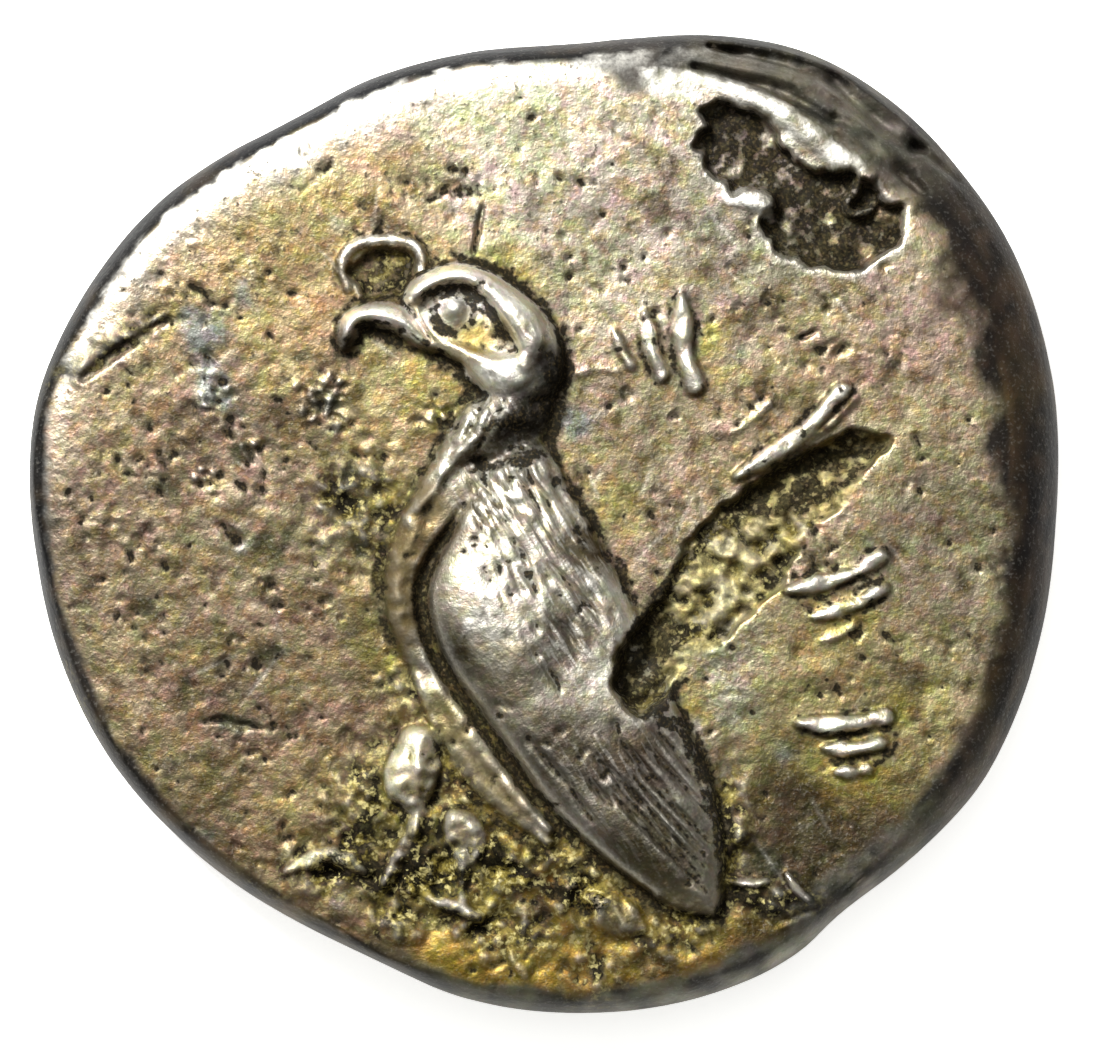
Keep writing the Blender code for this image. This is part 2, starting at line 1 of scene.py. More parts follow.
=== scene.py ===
# A toned silver didrachm, eagle up: its fine relief, wear, patina and dirt, with painted highlights and painted shade
# on the relief, in a plain pale studio.
import math
import bpy
import numpy as np
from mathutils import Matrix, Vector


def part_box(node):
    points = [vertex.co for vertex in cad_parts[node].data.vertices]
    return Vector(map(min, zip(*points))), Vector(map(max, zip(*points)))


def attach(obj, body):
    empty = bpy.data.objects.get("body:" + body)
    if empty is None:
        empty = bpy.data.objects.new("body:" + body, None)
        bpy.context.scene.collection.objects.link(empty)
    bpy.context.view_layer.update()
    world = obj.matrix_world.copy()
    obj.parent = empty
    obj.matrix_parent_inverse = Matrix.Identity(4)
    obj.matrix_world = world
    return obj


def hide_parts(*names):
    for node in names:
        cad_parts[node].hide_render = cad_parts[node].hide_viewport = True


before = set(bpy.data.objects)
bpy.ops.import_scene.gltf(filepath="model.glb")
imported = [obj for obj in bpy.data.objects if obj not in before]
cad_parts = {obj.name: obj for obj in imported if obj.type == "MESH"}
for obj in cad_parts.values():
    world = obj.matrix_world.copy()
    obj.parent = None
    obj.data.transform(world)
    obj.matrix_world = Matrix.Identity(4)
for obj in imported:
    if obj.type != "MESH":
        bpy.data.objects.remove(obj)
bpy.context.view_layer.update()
mm = 0.001

# Everything on the coin is drawn in mm from its middle, +Y to the top of the face, and fitted to the frame at the end.
sheet = {
    "drawnWidth": 20.64,
    "drawnLength": 19.64,
    "pitch": 0.03,  # spacing of the height samples
    "half": (11.4, 10.9),
}
sheetX, sheetY = np.meshgrid(np.arange(-sheet["half"][0], sheet["half"][0], sheet["pitch"]),
                             np.arange(-sheet["half"][1], sheet["half"][1], sheet["pitch"]))


# Sculpting tools

def smoothCurve(points, closed=False, steps=6):
    # a smooth line through the rows; every column is interpolated
    p = np.array(points, float)
    if closed:
        p = np.vstack([p[-1:], p, p[:2]])
    else:
        p = np.vstack([2 * p[0] - p[1], p, 2 * p[-1] - p[-2]])
    t = np.linspace(0, 1, steps, endpoint=False)[:, None]
    spans = []
    for a, b, c, d in zip(p, p[1:], p[2:], p[3:]):
        spans.append(b + 0.5 * t * ((c - a) + t * (2 * a - 5 * b + 4 * c - d) + t * t * (3 * b - a - 3 * c + d)))
    line = np.vstack(spans)
    return np.vstack([line, line[:1] if closed else p[-2:-1]])


def nearestOn(line, x, y):
    # distance from each place to the line, and where along it the nearest point is
    best = np.full(x.shape, np.inf)
    along = np.zeros(x.shape)
    for i, (a, b) in enumerate(zip(line[:-1, :2], line[1:, :2])):
        run = b - a
        length = max(run @ run, 1e-12)
        t = np.clip(((x - a[0]) * run[0] + (y - a[1]) * run[1]) / length, 0, 1)
        distance = (x - a[0] - t * run[0]) ** 2 + (y - a[1] - t * run[1]) ** 2
        closer = distance < best
        best[closer] = distance[closer]
        along[closer] = i + t[closer]
    return np.sqrt(best), along


def isInside(line, x, y):
    odd = np.zeros(x.shape, bool)
    for (ax, ay), (bx, by) in zip(line[:-1], line[1:]):
        if ay != by:
            odd ^= ((ay > y) != (by > y)) & (x < (bx - ax) * (y - ay) / (by - ay) + ax)
    return odd


def windowOf(line, reach):
    # the part of the sheet that holds the line and its reach
    columns = np.flatnonzero((sheetX[0] > line[:, 0].min() - reach) & (sheetX[0] < line[:, 0].max() + reach))
    rows = np.flatnonzero((sheetY[:, 0] > line[:, 1].min() - reach) & (sheetY[:, 0] < line[:, 1].max() + reach))
    return slice(rows[0], rows[-1] + 1), slice(columns[0], columns[-1] + 1)


def bar(rows, height, crown=1.0):
    # a rounded bar; rows: x, y, half width and, where it fades, the share of the height
    line = smoothCurve([row if len(row) == 4 else tuple(row) + (1.0,) for row in rows])
    width = line[:, 2].clip(0.01)
    area = windowOf(line, width.max())
    distance, along = nearestOn(line, sheetX[area], sheetY[area])
    places = np.arange(len(line))
    half = np.interp(along, places, width)
    share = np.interp(along, places, line[:, 3])
    return area, height * share * np.clip(1 - (distance / half) ** 2, 0, None) ** crown


def pillow(outline, height, edge, power=2.0, lean=None):
    # a swelling inside an outline, rounded over its edge; lean: two places and the share of the height at each
    line = smoothCurve(outline, closed=True)
    area = windowOf(line, edge)
    x, y = sheetX[area], sheetY[area]
    distance, _ = nearestOn(line, x, y)
    rise = (1 - (1 - np.clip(distance / edge, 0, 1)) ** power) ** (1 / power)
    if lean:
        (ax, ay), (bx, by), low, high = lean
        along = ((x - ax) * (bx - ax) + (y - ay) * (by - ay)) / ((bx - ax) ** 2 + (by - ay) ** 2)
        rise = rise * (low + (high - low) * np.clip(along, 0, 1))
    return area, np.where(isInside(line, x, y), rise * height, 0)


def dome(x, y, long, short, tilt, height, crown=0.5):
    c, s = math.cos(math.radians(tilt)), math.sin(math.radians(tilt))
    area = windowOf(np.array([(x, y)]), max(long, short))
    dx, dy = sheetX[area] - x, sheetY[area] - y
    q = ((dx * c + dy * s) / long) ** 2 + ((dy * c - dx * s) / short) ** 2
    return area, height * np.clip(1 - q, 0, None) ** crown


def fineLine(x, y, run, turn):
    # a straight hairline with fading ends
    end = (x + run * math.cos(turn), y + run * math.sin(turn))
    return [(x, y, 0.03, 0.3), ((x + end[0]) / 2, (y + end[1]) / 2, 0.045), (*end, 0.03, 0.3)]


def layOver(level, shape, soft=0.03):
    # stands a shape on the ground, joined to what it meets with a soft crease
    area, height = shape
    old = level[area]
    k = np.clip(0.5 + 0.5 * (height - old) / soft, 0, 1)
    joined = old * (1 - k) + height * k + soft * k * (1 - k) * np.clip(height / soft, 0, 1)
    level[area] = np.where(height > 0, joined, old)


def add(level, shape):
    area, height = shape
    level[area] += height


def cut(level, shape):
    area, height = shape
    level[area] -= height


def blur(level, size):
    waveY = np.fft.fftfreq(level.shape[0])[:, None]
    waveX = np.fft.rfftfreq(level.shape[1])[None, :]
    keep = np.exp(-2 * (math.pi * size / sheet["pitch"]) ** 2 * (waveX ** 2 + waveY ** 2))
    return np.fft.irfft2(np.fft.rfft2(level) * keep, level.shape)


def grain(size, seed):
    # smooth random relief with features of about that size, 0 on average and 1 in spread
    noise = blur(np.random.default_rng(seed).standard_normal(sheetX.shape), size / 2)
    return noise / noise.std()


def spot(x, y, reach, squash=1.0, tilt=0.0):
    # a soft round or oval patch, 1 in the middle
    c, s = math.cos(math.radians(tilt)), math.sin(math.radians(tilt))
    dx, dy = sheetX - x, sheetY - y
    return np.exp(-((dx * c + dy * s) / reach) ** 2 - ((dy * c - dx * s) / (reach * squash)) ** 2)


def step(value, low, high):
    t = np.clip((value - low) / (high - low), 0, 1)
    return t * t * (3 - 2 * t)


def sample(level, x, y):
    u = (x - sheetX[0, 0]) / sheet["pitch"]
    v = (y - sheetY[0, 0]) / sheet["pitch"]
    i = np.clip(u.astype(int), 0, level.shape[1] - 2)
    j = np.clip(v.astype(int), 0, level.shape[0] - 2)
    u, v = u - i, v - j
    low = level[j, i] * (1 - u) + level[j, i + 1] * u
    high = level[j + 1, i] * (1 - u) + level[j + 1, i + 1] * u
    return low * (1 - v) + high * v


# The flan

flan = {
    "field": 2.95,  # middle of the field above the rest plane
    "doming": 0.30,  # fall of the field towards the edge
    "waist": 1.30,  # height at which the edge is widest
    "footInset": 1.10,
    "rounds": 200,  # rings of vertices from the middle to the waist
    "shoulderRounds": 26,
    "footRounds": 8,
    "triangles": 192000,
    "edgeDents": 0.016,
    "dentWaves": (5, 60),  # dents round the edge, from the longest wave to the shortest
    "strikeSoftness": 0.035,  # mm by which the struck relief is rounded
    "wearSoftness": 0.018,  # mm by which wear rounds everything
    # how far the field rolls over towards the edge: everywhere, and more about this angle
    "roll": {"least": 0.03, "more": 0.10, "angle": 118, "spread": 38, "width": 0.8, "run": 0.5},
    # angle, reach and width of the rounded shoulder, in hundredths of half the width
    "outline": [
        (0, 99.0, 9.5), (15, 102.0, 13.8), (30, 104.7, 15.5), (40, 105.2, 16.8), (50, 105.6, 13.2),
        (60, 104.3, 11.6), (70, 100.2, 9.1), (80, 95.0, 4.3), (90, 92.1, 2.9), (110, 92.2, 3.7), (122, 92.0, 3.4),
        (132, 94.6, 3.1), (140, 97.1, 3.7), (150, 99.0, 3.7), (165, 101.4, 2.4), (175, 100.6, 1.6), (185, 99.0, 2.9),
        (195, 98.0, 3.2), (210, 96.1, 3.1), (225, 93.4, 4.0), (240, 91.3, 3.7), (250, 91.5, 2.3), (260, 93.8, 4.3),
        (275, 95.9, 5.0), (290, 97.3, 6.2), (300, 97.0, 6.4), (308, 95.1, 4.8), (320, 97.1, 5.6), (330, 98.8, 7.8),
        (345, 98.6, 9.1),
    ],
}


def outlineAt(angle):
    # the widest line and the inner end of the shoulder at each angle in degrees, as places on the sheet
    rows = [(a - 360, r, s) for a, r, s in flan["outline"][-2:]] + flan["outline"]
    rows += [(a + 360, r, s) for a, r, s in flan["outline"][:2]]
    line = smoothCurve(rows)
    full = np.arange(0, 360, 0.5)
    reach = np.interp(full, line[:, 0], line[:, 1])
    px, py = reach * np.cos(np.radians(full)), reach * np.sin(np.radians(full))
    fitX, fitY = sheet["drawnWidth"] / np.ptp(px), sheet["drawnLength"] / np.ptp(py)
    midX, midY = (px.max() + px.min()) / 2, (py.max() + py.min()) / 2
    turn = angle % 360
    r, s = np.interp(turn, line[:, 0], line[:, 1]), np.interp(turn, line[:, 0], line[:, 2])
    c, n = np.cos(np.radians(angle)), np.sin(np.radians(angle))
    waist = np.stack([(r * c - midX) * fitX, (r * n - midY) * fitY], axis=-1)
    return waist, waist * (1 - s / r)[..., None]


def rimCoordinates():
    # for each place on the sheet: its angle and how far inside the outline it lies
    edge = outlineAt(np.arange(0, 360, 0.5))[0]
    angles = np.degrees(np.arctan2(edge[:, 1], edge[:, 0])) % 360
    order = np.argsort(angles)
    angle = np.degrees(np.arctan2(sheetY, sheetX)) % 360
    reach = np.interp(angle, angles[order], np.hypot(edge[:, 0], edge[:, 1])[order], period=360)
    return angle, reach - np.hypot(sheetX, sheetY)


rimAngle, rimInset = rimCoordinates()


# The eagle, in heights over the field

eagle = {
    "height": 0.85,
    "groove": 0.28,  # the line under the wing's leading edge
    "featherGroove": 0.11,
    "featherTurn": -58,  # degrees, the way the feathers lie on the shoulder
    "barbs": 90,
    # lines between the tail's feathers
    "tail": [
        [(1.3, -5.3), (2.0, -6.05), (2.6, -6.65), (3.25, -7.35)],
        [(1.45, -5.2), (2.05, -5.88), (2.6, -6.45), (3.1, -7.0)],
        [(1.75, -5.0), (2.25, -5.58), (2.7, -6.05), (3.2, -6.6)],
        [(1.0, -4.6), (1.5, -5.1), (2.0, -5.6)],
        [(1.5, -4.3), (2.1, -4.95), (2.6, -5.5)],
        [(1.6, -5.1), (2.1, -5.7), (2.6, -6.25), (3.2, -6.85)],
        [(1.9, -4.9), (2.4, -5.45), (2.8, -5.85), (3.3, -6.35)],
        [(2.05, -4.45), (2.5, -4.9), (2.9, -5.35), (3.3, -5.8)],
        [(2.2, -4.05), (2.55, -4.45), (2.85, -4.85), (3.15, -5.2)],
        [(0.55, -5.3), (0.75, -5.6), (0.98, -5.95)],
        [(0.9, -5.1), (1.1, -5.33), (1.38, -5.6)],
        [(-0.3, -4.3), (0.1, -4.75), (0.5, -5.2)],
    ],
}


def addBreast(level):
    layOver(level, pillow([
        (-1.2, 1.5), (-2.05, 1.4), (-2.45, 0.95), (-2.75, 0.4), (-3.05, -0.3), (-3.2, -1.1), (-3.15, -1.8),
        (-2.9, -2.5), (-2.55, -3.1), (-2.2, -3.7), (-1.7, -4.6), (-0.5, -4.4), (0.5, -1.0), (0.2, 0.8)], 0.33, 0.45))
    add(level, bar([
        (-2.15, 0.95, 0.16, 0.1), (-2.4, 0.4, 0.24, 0.6), (-2.65, -0.1, 0.26), (-2.88, -0.6, 0.24),
        (-2.98, -1.15, 0.24), (-2.88, -1.75, 0.22), (-2.68, -2.4, 0.18, 0.6), (-2.35, -3.0, 0.12, 0.2)], 0.07))
    layOver(level, bar([
        (-2.5, -2.9, 0.18), (-2.2, -3.6, 0.24), (-1.95, -4.1, 0.26), (-1.65, -4.6, 0.26), (-1.25, -5.15, 0.24),
        (-0.8, -5.6, 0.2), (-0.3, -6.0, 0.16), (0.1, -6.35, 0.1)], 0.26, 0.6))
    layOver(level, bar([
        (-2.1, -3.3, 0.1), (-1.6, -4.05, 0.15), (-1.15, -4.65, 0.2), (-0.75, -5.15, 0.24), (-0.35, -5.6, 0.2),
        (0.1, -6.1, 0.12)], 0.32, 0.6))


def addNeck(level):
    # crest to the left, so that the right half turns away from the light
    layOver(level, pillow([
        (-1.6, 3.0), (-1.2, 2.6), (-1.55, 2.35), (-1.85, 2.0), (-2.05, 1.6), (-2.3, 1.15), (-2.55, 0.7), (-2.8, 0.2),
        (-2.3, 0.1), (-1.75, 0.95), (-1.3, 1.15), (-0.7, 1.15), (-0.1, 1.1), (0.25, 1.2), (0.1, 1.6), (0.15, 2.1),
        (0.32, 2.7), (0.38, 3.3), (-0.6, 3.6)], 0.78, 0.75, 1.7,
        lean=((-1.2, 2.0), (0.3, 1.7), 1.0, 0.55)))


def addWing(level):
    # body, folded wing and tail in one swelling; its crest runs near the left edge
    layOver(level, pillow([
        (-1.35, 0.75), (-1.7, 0.3), (-2.0, -0.35), (-2.3, -1.0), (-2.4, -1.6), (-2.25, -2.3), (-1.95, -2.95),
        (-1.45, -3.7), (-0.85, -4.55), (-0.3, -5.3), (0.3, -6.0), (0.9, -6.55), (1.5, -7.05), (2.2, -7.5),
        (3.0, -7.8), (3.5, -7.75), (3.6, -7.1), (3.6, -6.3), (3.45, -5.4), (3.2, -4.75), (2.9, -4.15), (2.6, -3.5),
        (2.2, -2.6), (1.8, -1.7), (1.35, -0.8), (0.85, 0.1), (0.45, 0.75), (0.25, 1.3), (-0.1, 1.75),
        (-0.7, 1.7)], 0.87, 1.15, 2.2,
        lean=((-0.6, -3.0), (2.4, -2.0), 1.0, 0.8)))
    layOver(level, pillow([
        (-1.6, -0.15), (-2.0, -0.75), (-2.25, -1.35), (-2.15, -2.1), (-1.75, -2.8), (-1.2, -3.5), (-0.5, -3.9),
        (0.3, -3.6), (0.9, -2.6), (0.9, -1.6), (0.3, -0.6), (-0.5, 0.1), (-1.1, 0.15)], 1.0, 1.5), 0.14)


def addHead(level):
    layOver(level, pillow([
        (-2.6, 4.15), (-2.8, 4.6), (-2.45, 4.95), (-2.0, 5.18), (-1.55, 5.22), (-1.1, 5.05), (-0.5, 4.65),
        (0.02, 4.22), (0.3, 3.8), (0.4, 3.4), (0.34, 2.8), (-0.3, 2.3), (-1.05, 2.5), (-1.35, 2.75), (-1.6, 3.1),
        (-1.9, 3.35), (-2.3, 3.65)], 0.78, 0.6, 2.2))
    socket, sunk = pillow([
        (-2.5, 4.15), (-2.45, 4.42), (-2.2, 4.68), (-1.85, 4.8), (-1.45, 4.74), (-1.15, 4.5), (-0.9, 4.15),
        (-0.65, 3.75), (-0.5, 3.4), (-0.95, 3.33), (-1.5, 3.46), (-2.0, 3.62), (-2.3, 3.85)], 1.0, 0.16)
    ground = level[socket]
    level[socket] = ground * (1 - sunk) + np.minimum(ground, 0.46) * sunk
    layOver(level, dome(-1.8, 4.2, 0.44, 0.44, 0, 0.56, 0.35))
    layOver(level, dome(-1.79, 4.3, 0.28, 0.26, 0, 0.68, 0.3))
    # brow ridge, running round into the nape
    add(level, bar([
        (-2.68, 4.5, 0.17), (-2.5, 4.72, 0.18), (-2.2, 4.88, 0.17), (-1.85, 4.97, 0.17), (-1.45, 4.96, 0.19),
        (-1.0, 4.72, 0.27), (-0.6, 4.33, 0.34), (-0.35, 3.95, 0.32), (-0.25, 3.55, 0.28),
        (-0.35, 3.2, 0.2, 0.4)], 0.26, 0.45))
    # cheek
    add(level, pillow([
        (-1.7, 3.3), (-1.4, 3.42), (-0.95, 3.3), (-0.4, 3.4), (-0.2, 3.1), (-0.35, 2.75), (-0.9, 2.6),
        (-1.3, 2.8)], 0.14, 0.3))
    # hooked beak, with the line of the mouth
    layOver(level, pillow([
        (-4.0, 3.42), (-4.13, 3.65), (-4.1, 4.0), (-3.9, 4.25), (-3.5, 4.4), (-3.15, 4.43), (-2.85, 4.35),
        (-2.55, 4.12), (-2.3, 3.8), (-1.9, 3.62), (-1.6, 3.5), (-1.5, 3.15), (-1.75, 3.2), (-2.1, 3.4), (-2.5, 3.48),
        (-2.85, 3.72), (-3.3, 3.9), (-3.62, 3.93), (-3.72, 3.7), (-3.85, 3.5)], 0.65, 0.34))
    cut(level, bar([(-3.0, 4.0, 0.04, 0.3), (-2.75, 3.86, 0.06), (-2.45, 3.7, 0.06), (-2.1, 3.52, 0.05, 0.4)], 0.08))


def cutFolds(level):
    # the deep line under the wing's leading edge
    cut(level, bar([
        (-1.6, 0.35, 0.08, 0.3), (-1.85, -0.1, 0.14, 0.6), (-2.2, -0.65, 0.18), (-2.42, -1.2, 0.2),
        (-2.4, -1.8, 0.2), (-2.2, -2.45, 0.2), (-1.9, -3.05, 0.2), (-1.45, -3.65, 0.2), (-0.5, -4.95, 0.2),
        (0.05, -5.7, 0.18), (0.7, -6.35, 0.16), (1.4, -6.95, 0.14),
        (2.1, -7.45, 0.12)], eagle["groove"] / eagle["height"]))
    # the fold at the neck's base, and the hollow above it
    cut(level, bar([
        (-1.6, 1.05, 0.2, 0.3), (-1.2, 1.3, 0.36), (-0.8, 1.5, 0.42), (-0.3, 1.6, 0.42), (0.1, 1.5, 0.3),
        (0.35, 1.2, 0.1, 0.3)], 0.2, 1.6))
    # streaks below the fold, then the folds of the throat
    for x, y, run, half in [
            (-1.5, 0.95, 0.6, 0.05), (-1.25, 1.2, 0.9, 0.09), (-1.05, 1.0, 0.4, 0.05), (-0.82, 1.3, 0.7, 0.07),
            (-0.62, 1.1, 0.5, 0.05), (-0.4, 1.45, 1.2, 0.1), (-0.15, 1.2, 0.5, 0.05), (0.1, 1.3, 1.0, 0.08)]:
        cut(level, bar([(x, y, half, 0.6), (x + 0.12, y - run / 2, half), (x + 0.34, y - run, 0.03, 0.4)], 0.16, 0.8))
    cut(level, bar([(-0.55, 2.3, 0.2, 0.1), (-0.6, 1.8, 0.3, 0.8), (-0.75, 1.35, 0.25, 0.6)], 0.1))
    for x, y, run in [(-1.6, 2.35, 0.9), (-1.4, 2.1, 0.6), (-1.28, 2.5, 1.0), (-1.05, 2.2, 0.9), (-0.85, 2.6, 0.7),
                      (-1.75, 1.7, 0.8), (-2.1, 1.1, 0.6)]:
        cut(level, bar([(x, y, 0.04, 0.4), (x - 0.12, y - run / 2, 0.07), (x - 0.4, y - run, 0.04, 0.4)], 0.13, 0.8))


def cutFeathers(level):
    depth = eagle["featherGroove"] / eagle["height"]
    for line in eagle["tail"]:
        last = len(line) - 1
        cut(level, bar([(x, y, 0.06, 1.0 if 0 < i < last else 0.35) for i, (x, y) in enumerate(line)], depth * 1.2, 0.8))
    # shoulder: streaks that fan out from the neck's base
    shoulder = [
        (-1.5, 0.45, -1.15, -0.45), (-1.2, 0.75, -0.75, 0.0), (-0.95, 0.7, -0.45, -0.1), (-0.55, 0.95, 0.05, 0.0),
        (-0.35, 1.05, 0.35, -0.1), (0.05, 0.95, 0.8, -0.25), (-0.7, -0.2, -0.2, -1.1), (-1.05, -0.6, -0.85, -1.2),
        (-0.45, -0.9, -0.1, -1.5), (0.2, -0.3, 1.25, -1.4), (0.1, -0.8, 1.1, -1.95), (0.55, 0.1, 1.4, -1.0),
        (0.25, -1.9, 0.7, -2.7), (0.0, -2.8, 0.35, -3.4), (0.6, -1.4, 1.2, -2.0),
    ]
    for x0, y0, x1, y1 in shoulder:
        middle = ((x0 + x1) / 2 + 0.04, (y0 + y1) / 2 + 0.04, 0.08)
        cut(level, bar([(x0, y0, 0.03, 0.4), middle, (x1, y1, 0.03, 0.3)], depth, 0.8))
    # barbs: short fine lines that follow the same fan
    rng = np.random.default_rng(7)
    for _ in range(eagle["barbs"]):
        x, y = rng.uniform(-1.3, 1.5), rng.uniform(-2.6, 0.9)
        if not -0.9 * (x + 1.5) - 1.6 < y < 1.3 - 1.15 * max(x, -0.3):
            continue
        run = rng.uniform(0.25, 0.6)
        turn = math.radians(eagle["featherTurn"] + 10 * x + rng.uniform(-8, 8))
        cut(level, bar(fineLine(x, y, run, turn), depth * rng.uniform(0.3, 0.7), 0.8))
    # knocks in the wing
    for x, y, long, short, tilt, deep in [(-0.8, -3.62, 0.2, 0.07, -20, 0.1), (0.33, -4.12, 0.14, 0.07, 10, 0.08),
                                          (-1.3, -3.1, 0.18, 0.05, -50, 0.06), (-0.4, -1.35, 0.1, 0.09, 0, 0.06),
                                          (-1.05, -1.05, 0.06, 0.16, 0, 0.06), (0.9, -3.3, 0.08, 0.05, 30, 0.05)]:
        cut(level, dome(x, y, long, short, tilt, deep, 0.8))


def addLegs(level):
    layOver(level, pillow([
        (-2.45, -4.0), (-2.8, -4.1), (-3.02, -4.5), (-3.2, -4.95), (-3.12, -5.4), (-2.8, -5.75), (-2.5, -5.9),
        (-2.3, -5.6), (-2.1, -5.1), (-1.98, -4.6), (-2.12, -4.15)], 0.5, 0.6))
    layOver(level, pillow([
        (-1.95, -5.75), (-2.0, -6.3), (-1.8, -6.75), (-1.55, -6.95), (-1.2, -6.6), (-1.15, -6.1),
        (-1.5, -5.7)], 0.38, 0.4))
    for rows, height in [
        ([(-2.5, -5.7, 0.2), (-2.65, -6.2, 0.18), (-2.9, -6.65, 0.18), (-3.15, -7.1, 0.16)], 0.26),
        ([(-5.15, -6.92, 0.06), (-4.75, -6.75, 0.17), (-4.35, -6.62, 0.2), (-3.95, -6.7, 0.22),
        (-3.55, -6.95, 0.14)], 0.24),
        ([(-1.6, -6.7, 0.16), (-1.62, -7.1, 0.12), (-1.62, -7.55, 0.1)], 0.14),
        ([(-2.35, -7.45, 0.08), (-1.95, -7.58, 0.13), (-1.7, -7.66, 0.16), (-1.25, -7.88, 0.09)], 0.22),
        ([(3.7, -7.12, 0.08), (4.1, -7.18, 0.1), (4.45, -7.12, 0.07)], 0.24),
        ([(4.85, -7.0, 0.05), (5.05, -7.3, 0.09), (5.35, -7.55, 0.06)], 0.24),
        ([(-0.8, -8.35, 0.05), (-0.55, -8.75, 0.12), (-0.38, -9.05, 0.06)], 0.06),
        ([(-0.1, -8.45, 0.04), (-0.3, -8.8, 0.1), (-0.38, -9.05, 0.06)], 0.06),
    ]:
        layOver(level, bar(rows, height, 0.6))
    layOver(level, dome(-2.75, -8.15, 0.4, 0.25, -10, 0.1))
    layOver(level, dome(1.5, -7.85, 0.6, 0.42, -25, 0.2))


def eagleRelief():
    level = np.zeros(sheetX.shape)
    for sculpt in (addBreast, addNeck, addWing, addHead, cutFolds, cutFeathers, addLegs):
        sculpt(level)
    return level * eagle["height"]


# Where the inscription was: rows of short strokes, none of them a letter

strokes = {
    "height": 0.18,
    "unevenness": 0.22,
    "rows": [  # start, end, half width, share of the height
        [(1.4, 3.85, 1.75, 3.15, 0.1, 0.5), (2.0, 4.2, 2.35, 3.0, 0.16, 0.85), (2.75, 4.5, 3.0, 2.75, 0.19, 1.0)],
        [(3.85, 0.95, 5.95, 2.65, 0.17, 0.9), (4.9, 1.45, 6.2, 2.5, 0.07, 0.35), (3.6, 1.75, 4.5, 2.4, 0.06, 0.25)],
        [(4.85, -1.32, 6.7, -0.68, 0.16, 1.0), (5.4, -1.85, 6.75, -1.3, 0.14, 0.8), (5.5, -2.35, 6.2, -2.05, 0.08, 0.4)],
        [(5.1, -3.98, 6.8, -3.85, 0.18, 1.0), (5.6, -4.48, 6.7, -4.38, 0.14, 0.8), (5.85, -4.95, 6.45, -4.9, 0.12, 0.7)],
    ],
}


def strokeRelief():
    level = np.zeros(sheetX.shape)
    for row in strokes["rows"]:
        for x0, y0, x1, y1, half, share in row:
            dx, dy = x1 - x0, y1 - y0
            layOver(level, bar([
                (x0, y0, 0.45 * half),
                (x0 + 0.3 * dx + 0.04 * dy, y0 + 0.3 * dy - 0.04 * dx, 1.2 * half),
                (x0 + 0.65 * dx + 0.05 * dy, y0 + 0.65 * dy - 0.05 * dx, 0.85 * half),
                (x1, y1, 1.05 * half)], share, 0.25))
    layOver(level, bar([(0.5, 2.95, 0.04), (1.0, 3.08, 0.06), (1.5, 3.05, 0.05)], 0.3, 0.7))
    return level * strokes["height"] * (1 + strokes["unevenness"] * grain(0.3, 89))


# Damage: a deep gouge behind the eagle, a crater at the edge, a punch by the beak

gouge = {
    "depth": 0.5, "crumb": 0.10,
    "middle": (4.0, -0.6), "turn": 41,  # degrees, the way it runs
    "outline": [
        (7.0, 1.72), (6.35, 1.85), (5.6, 1.63), (5.05, 1.35), (4.55, 1.08), (4.0, 0.6), (3.35, 0.15), (2.85, -0.35),
        (2.65, -0.85), (1.85, -2.05), (1.4, -2.8), (1.5, -3.35), (1.95, -3.85), (2.2, -3.58), (2.7, -3.2),
        (3.05, -2.8), (3.5, -2.4), (4.2, -1.8), (4.7, -1.35), (5.0, -0.65), (5.3, -0.18), (5.95, 0.3), (6.4, 0.95)],
}
crater = {
    "depth": 0.5, "crumb": 0.02,
    "outline": [
        (3.2, 8.3), (3.65, 8.46), (4.1, 8.32), (4.45, 8.0), (4.7, 7.72), (4.95, 7.4), (5.3, 7.12), (5.7, 7.0),
        (6.1, 7.04), (6.5, 6.85), (6.8, 6.4), (7.18, 6.3), (7.1, 5.8), (6.85, 5.45), (6.4, 5.18), (5.9, 5.06),
        (5.4, 5.06), (5.0, 5.3), (4.7, 5.48), (4.38, 5.8), (4.42, 6.12), (4.62, 6.3), (4.48, 6.55), (4.1, 6.7),
        (3.84, 6.56), (3.62, 6.76), (3.3, 7.12), (3.15, 7.42), (2.92, 7.62), (3.18, 7.95)],
}
punch = {
    "depth": 0.28, "crumb": 0.02,
    "outline": [
        (-3.85, 5.28), (-3.3, 5.42), (-2.68, 5.4), (-2.62, 5.05), (-2.85, 4.6), (-3.25, 4.5), (-3.6, 4.62),
        (-3.85, 5.0)],
}


def maskOf(shape, edge):
    area, inside = pillow(shape["outline"], 1.0, edge, 1.6)
    mask = np.zeros(sheetX.shape)
    mask[area] = inside
    # read a little off its place, so that the edge is ragged
    return sample(mask, sheetX + 0.05 * grain(0.3, 52) + 0.02 * grain(0.14, 53),
                  sheetY + 0.05 * grain(0.3, 54) + 0.02 * grain(0.14, 55))


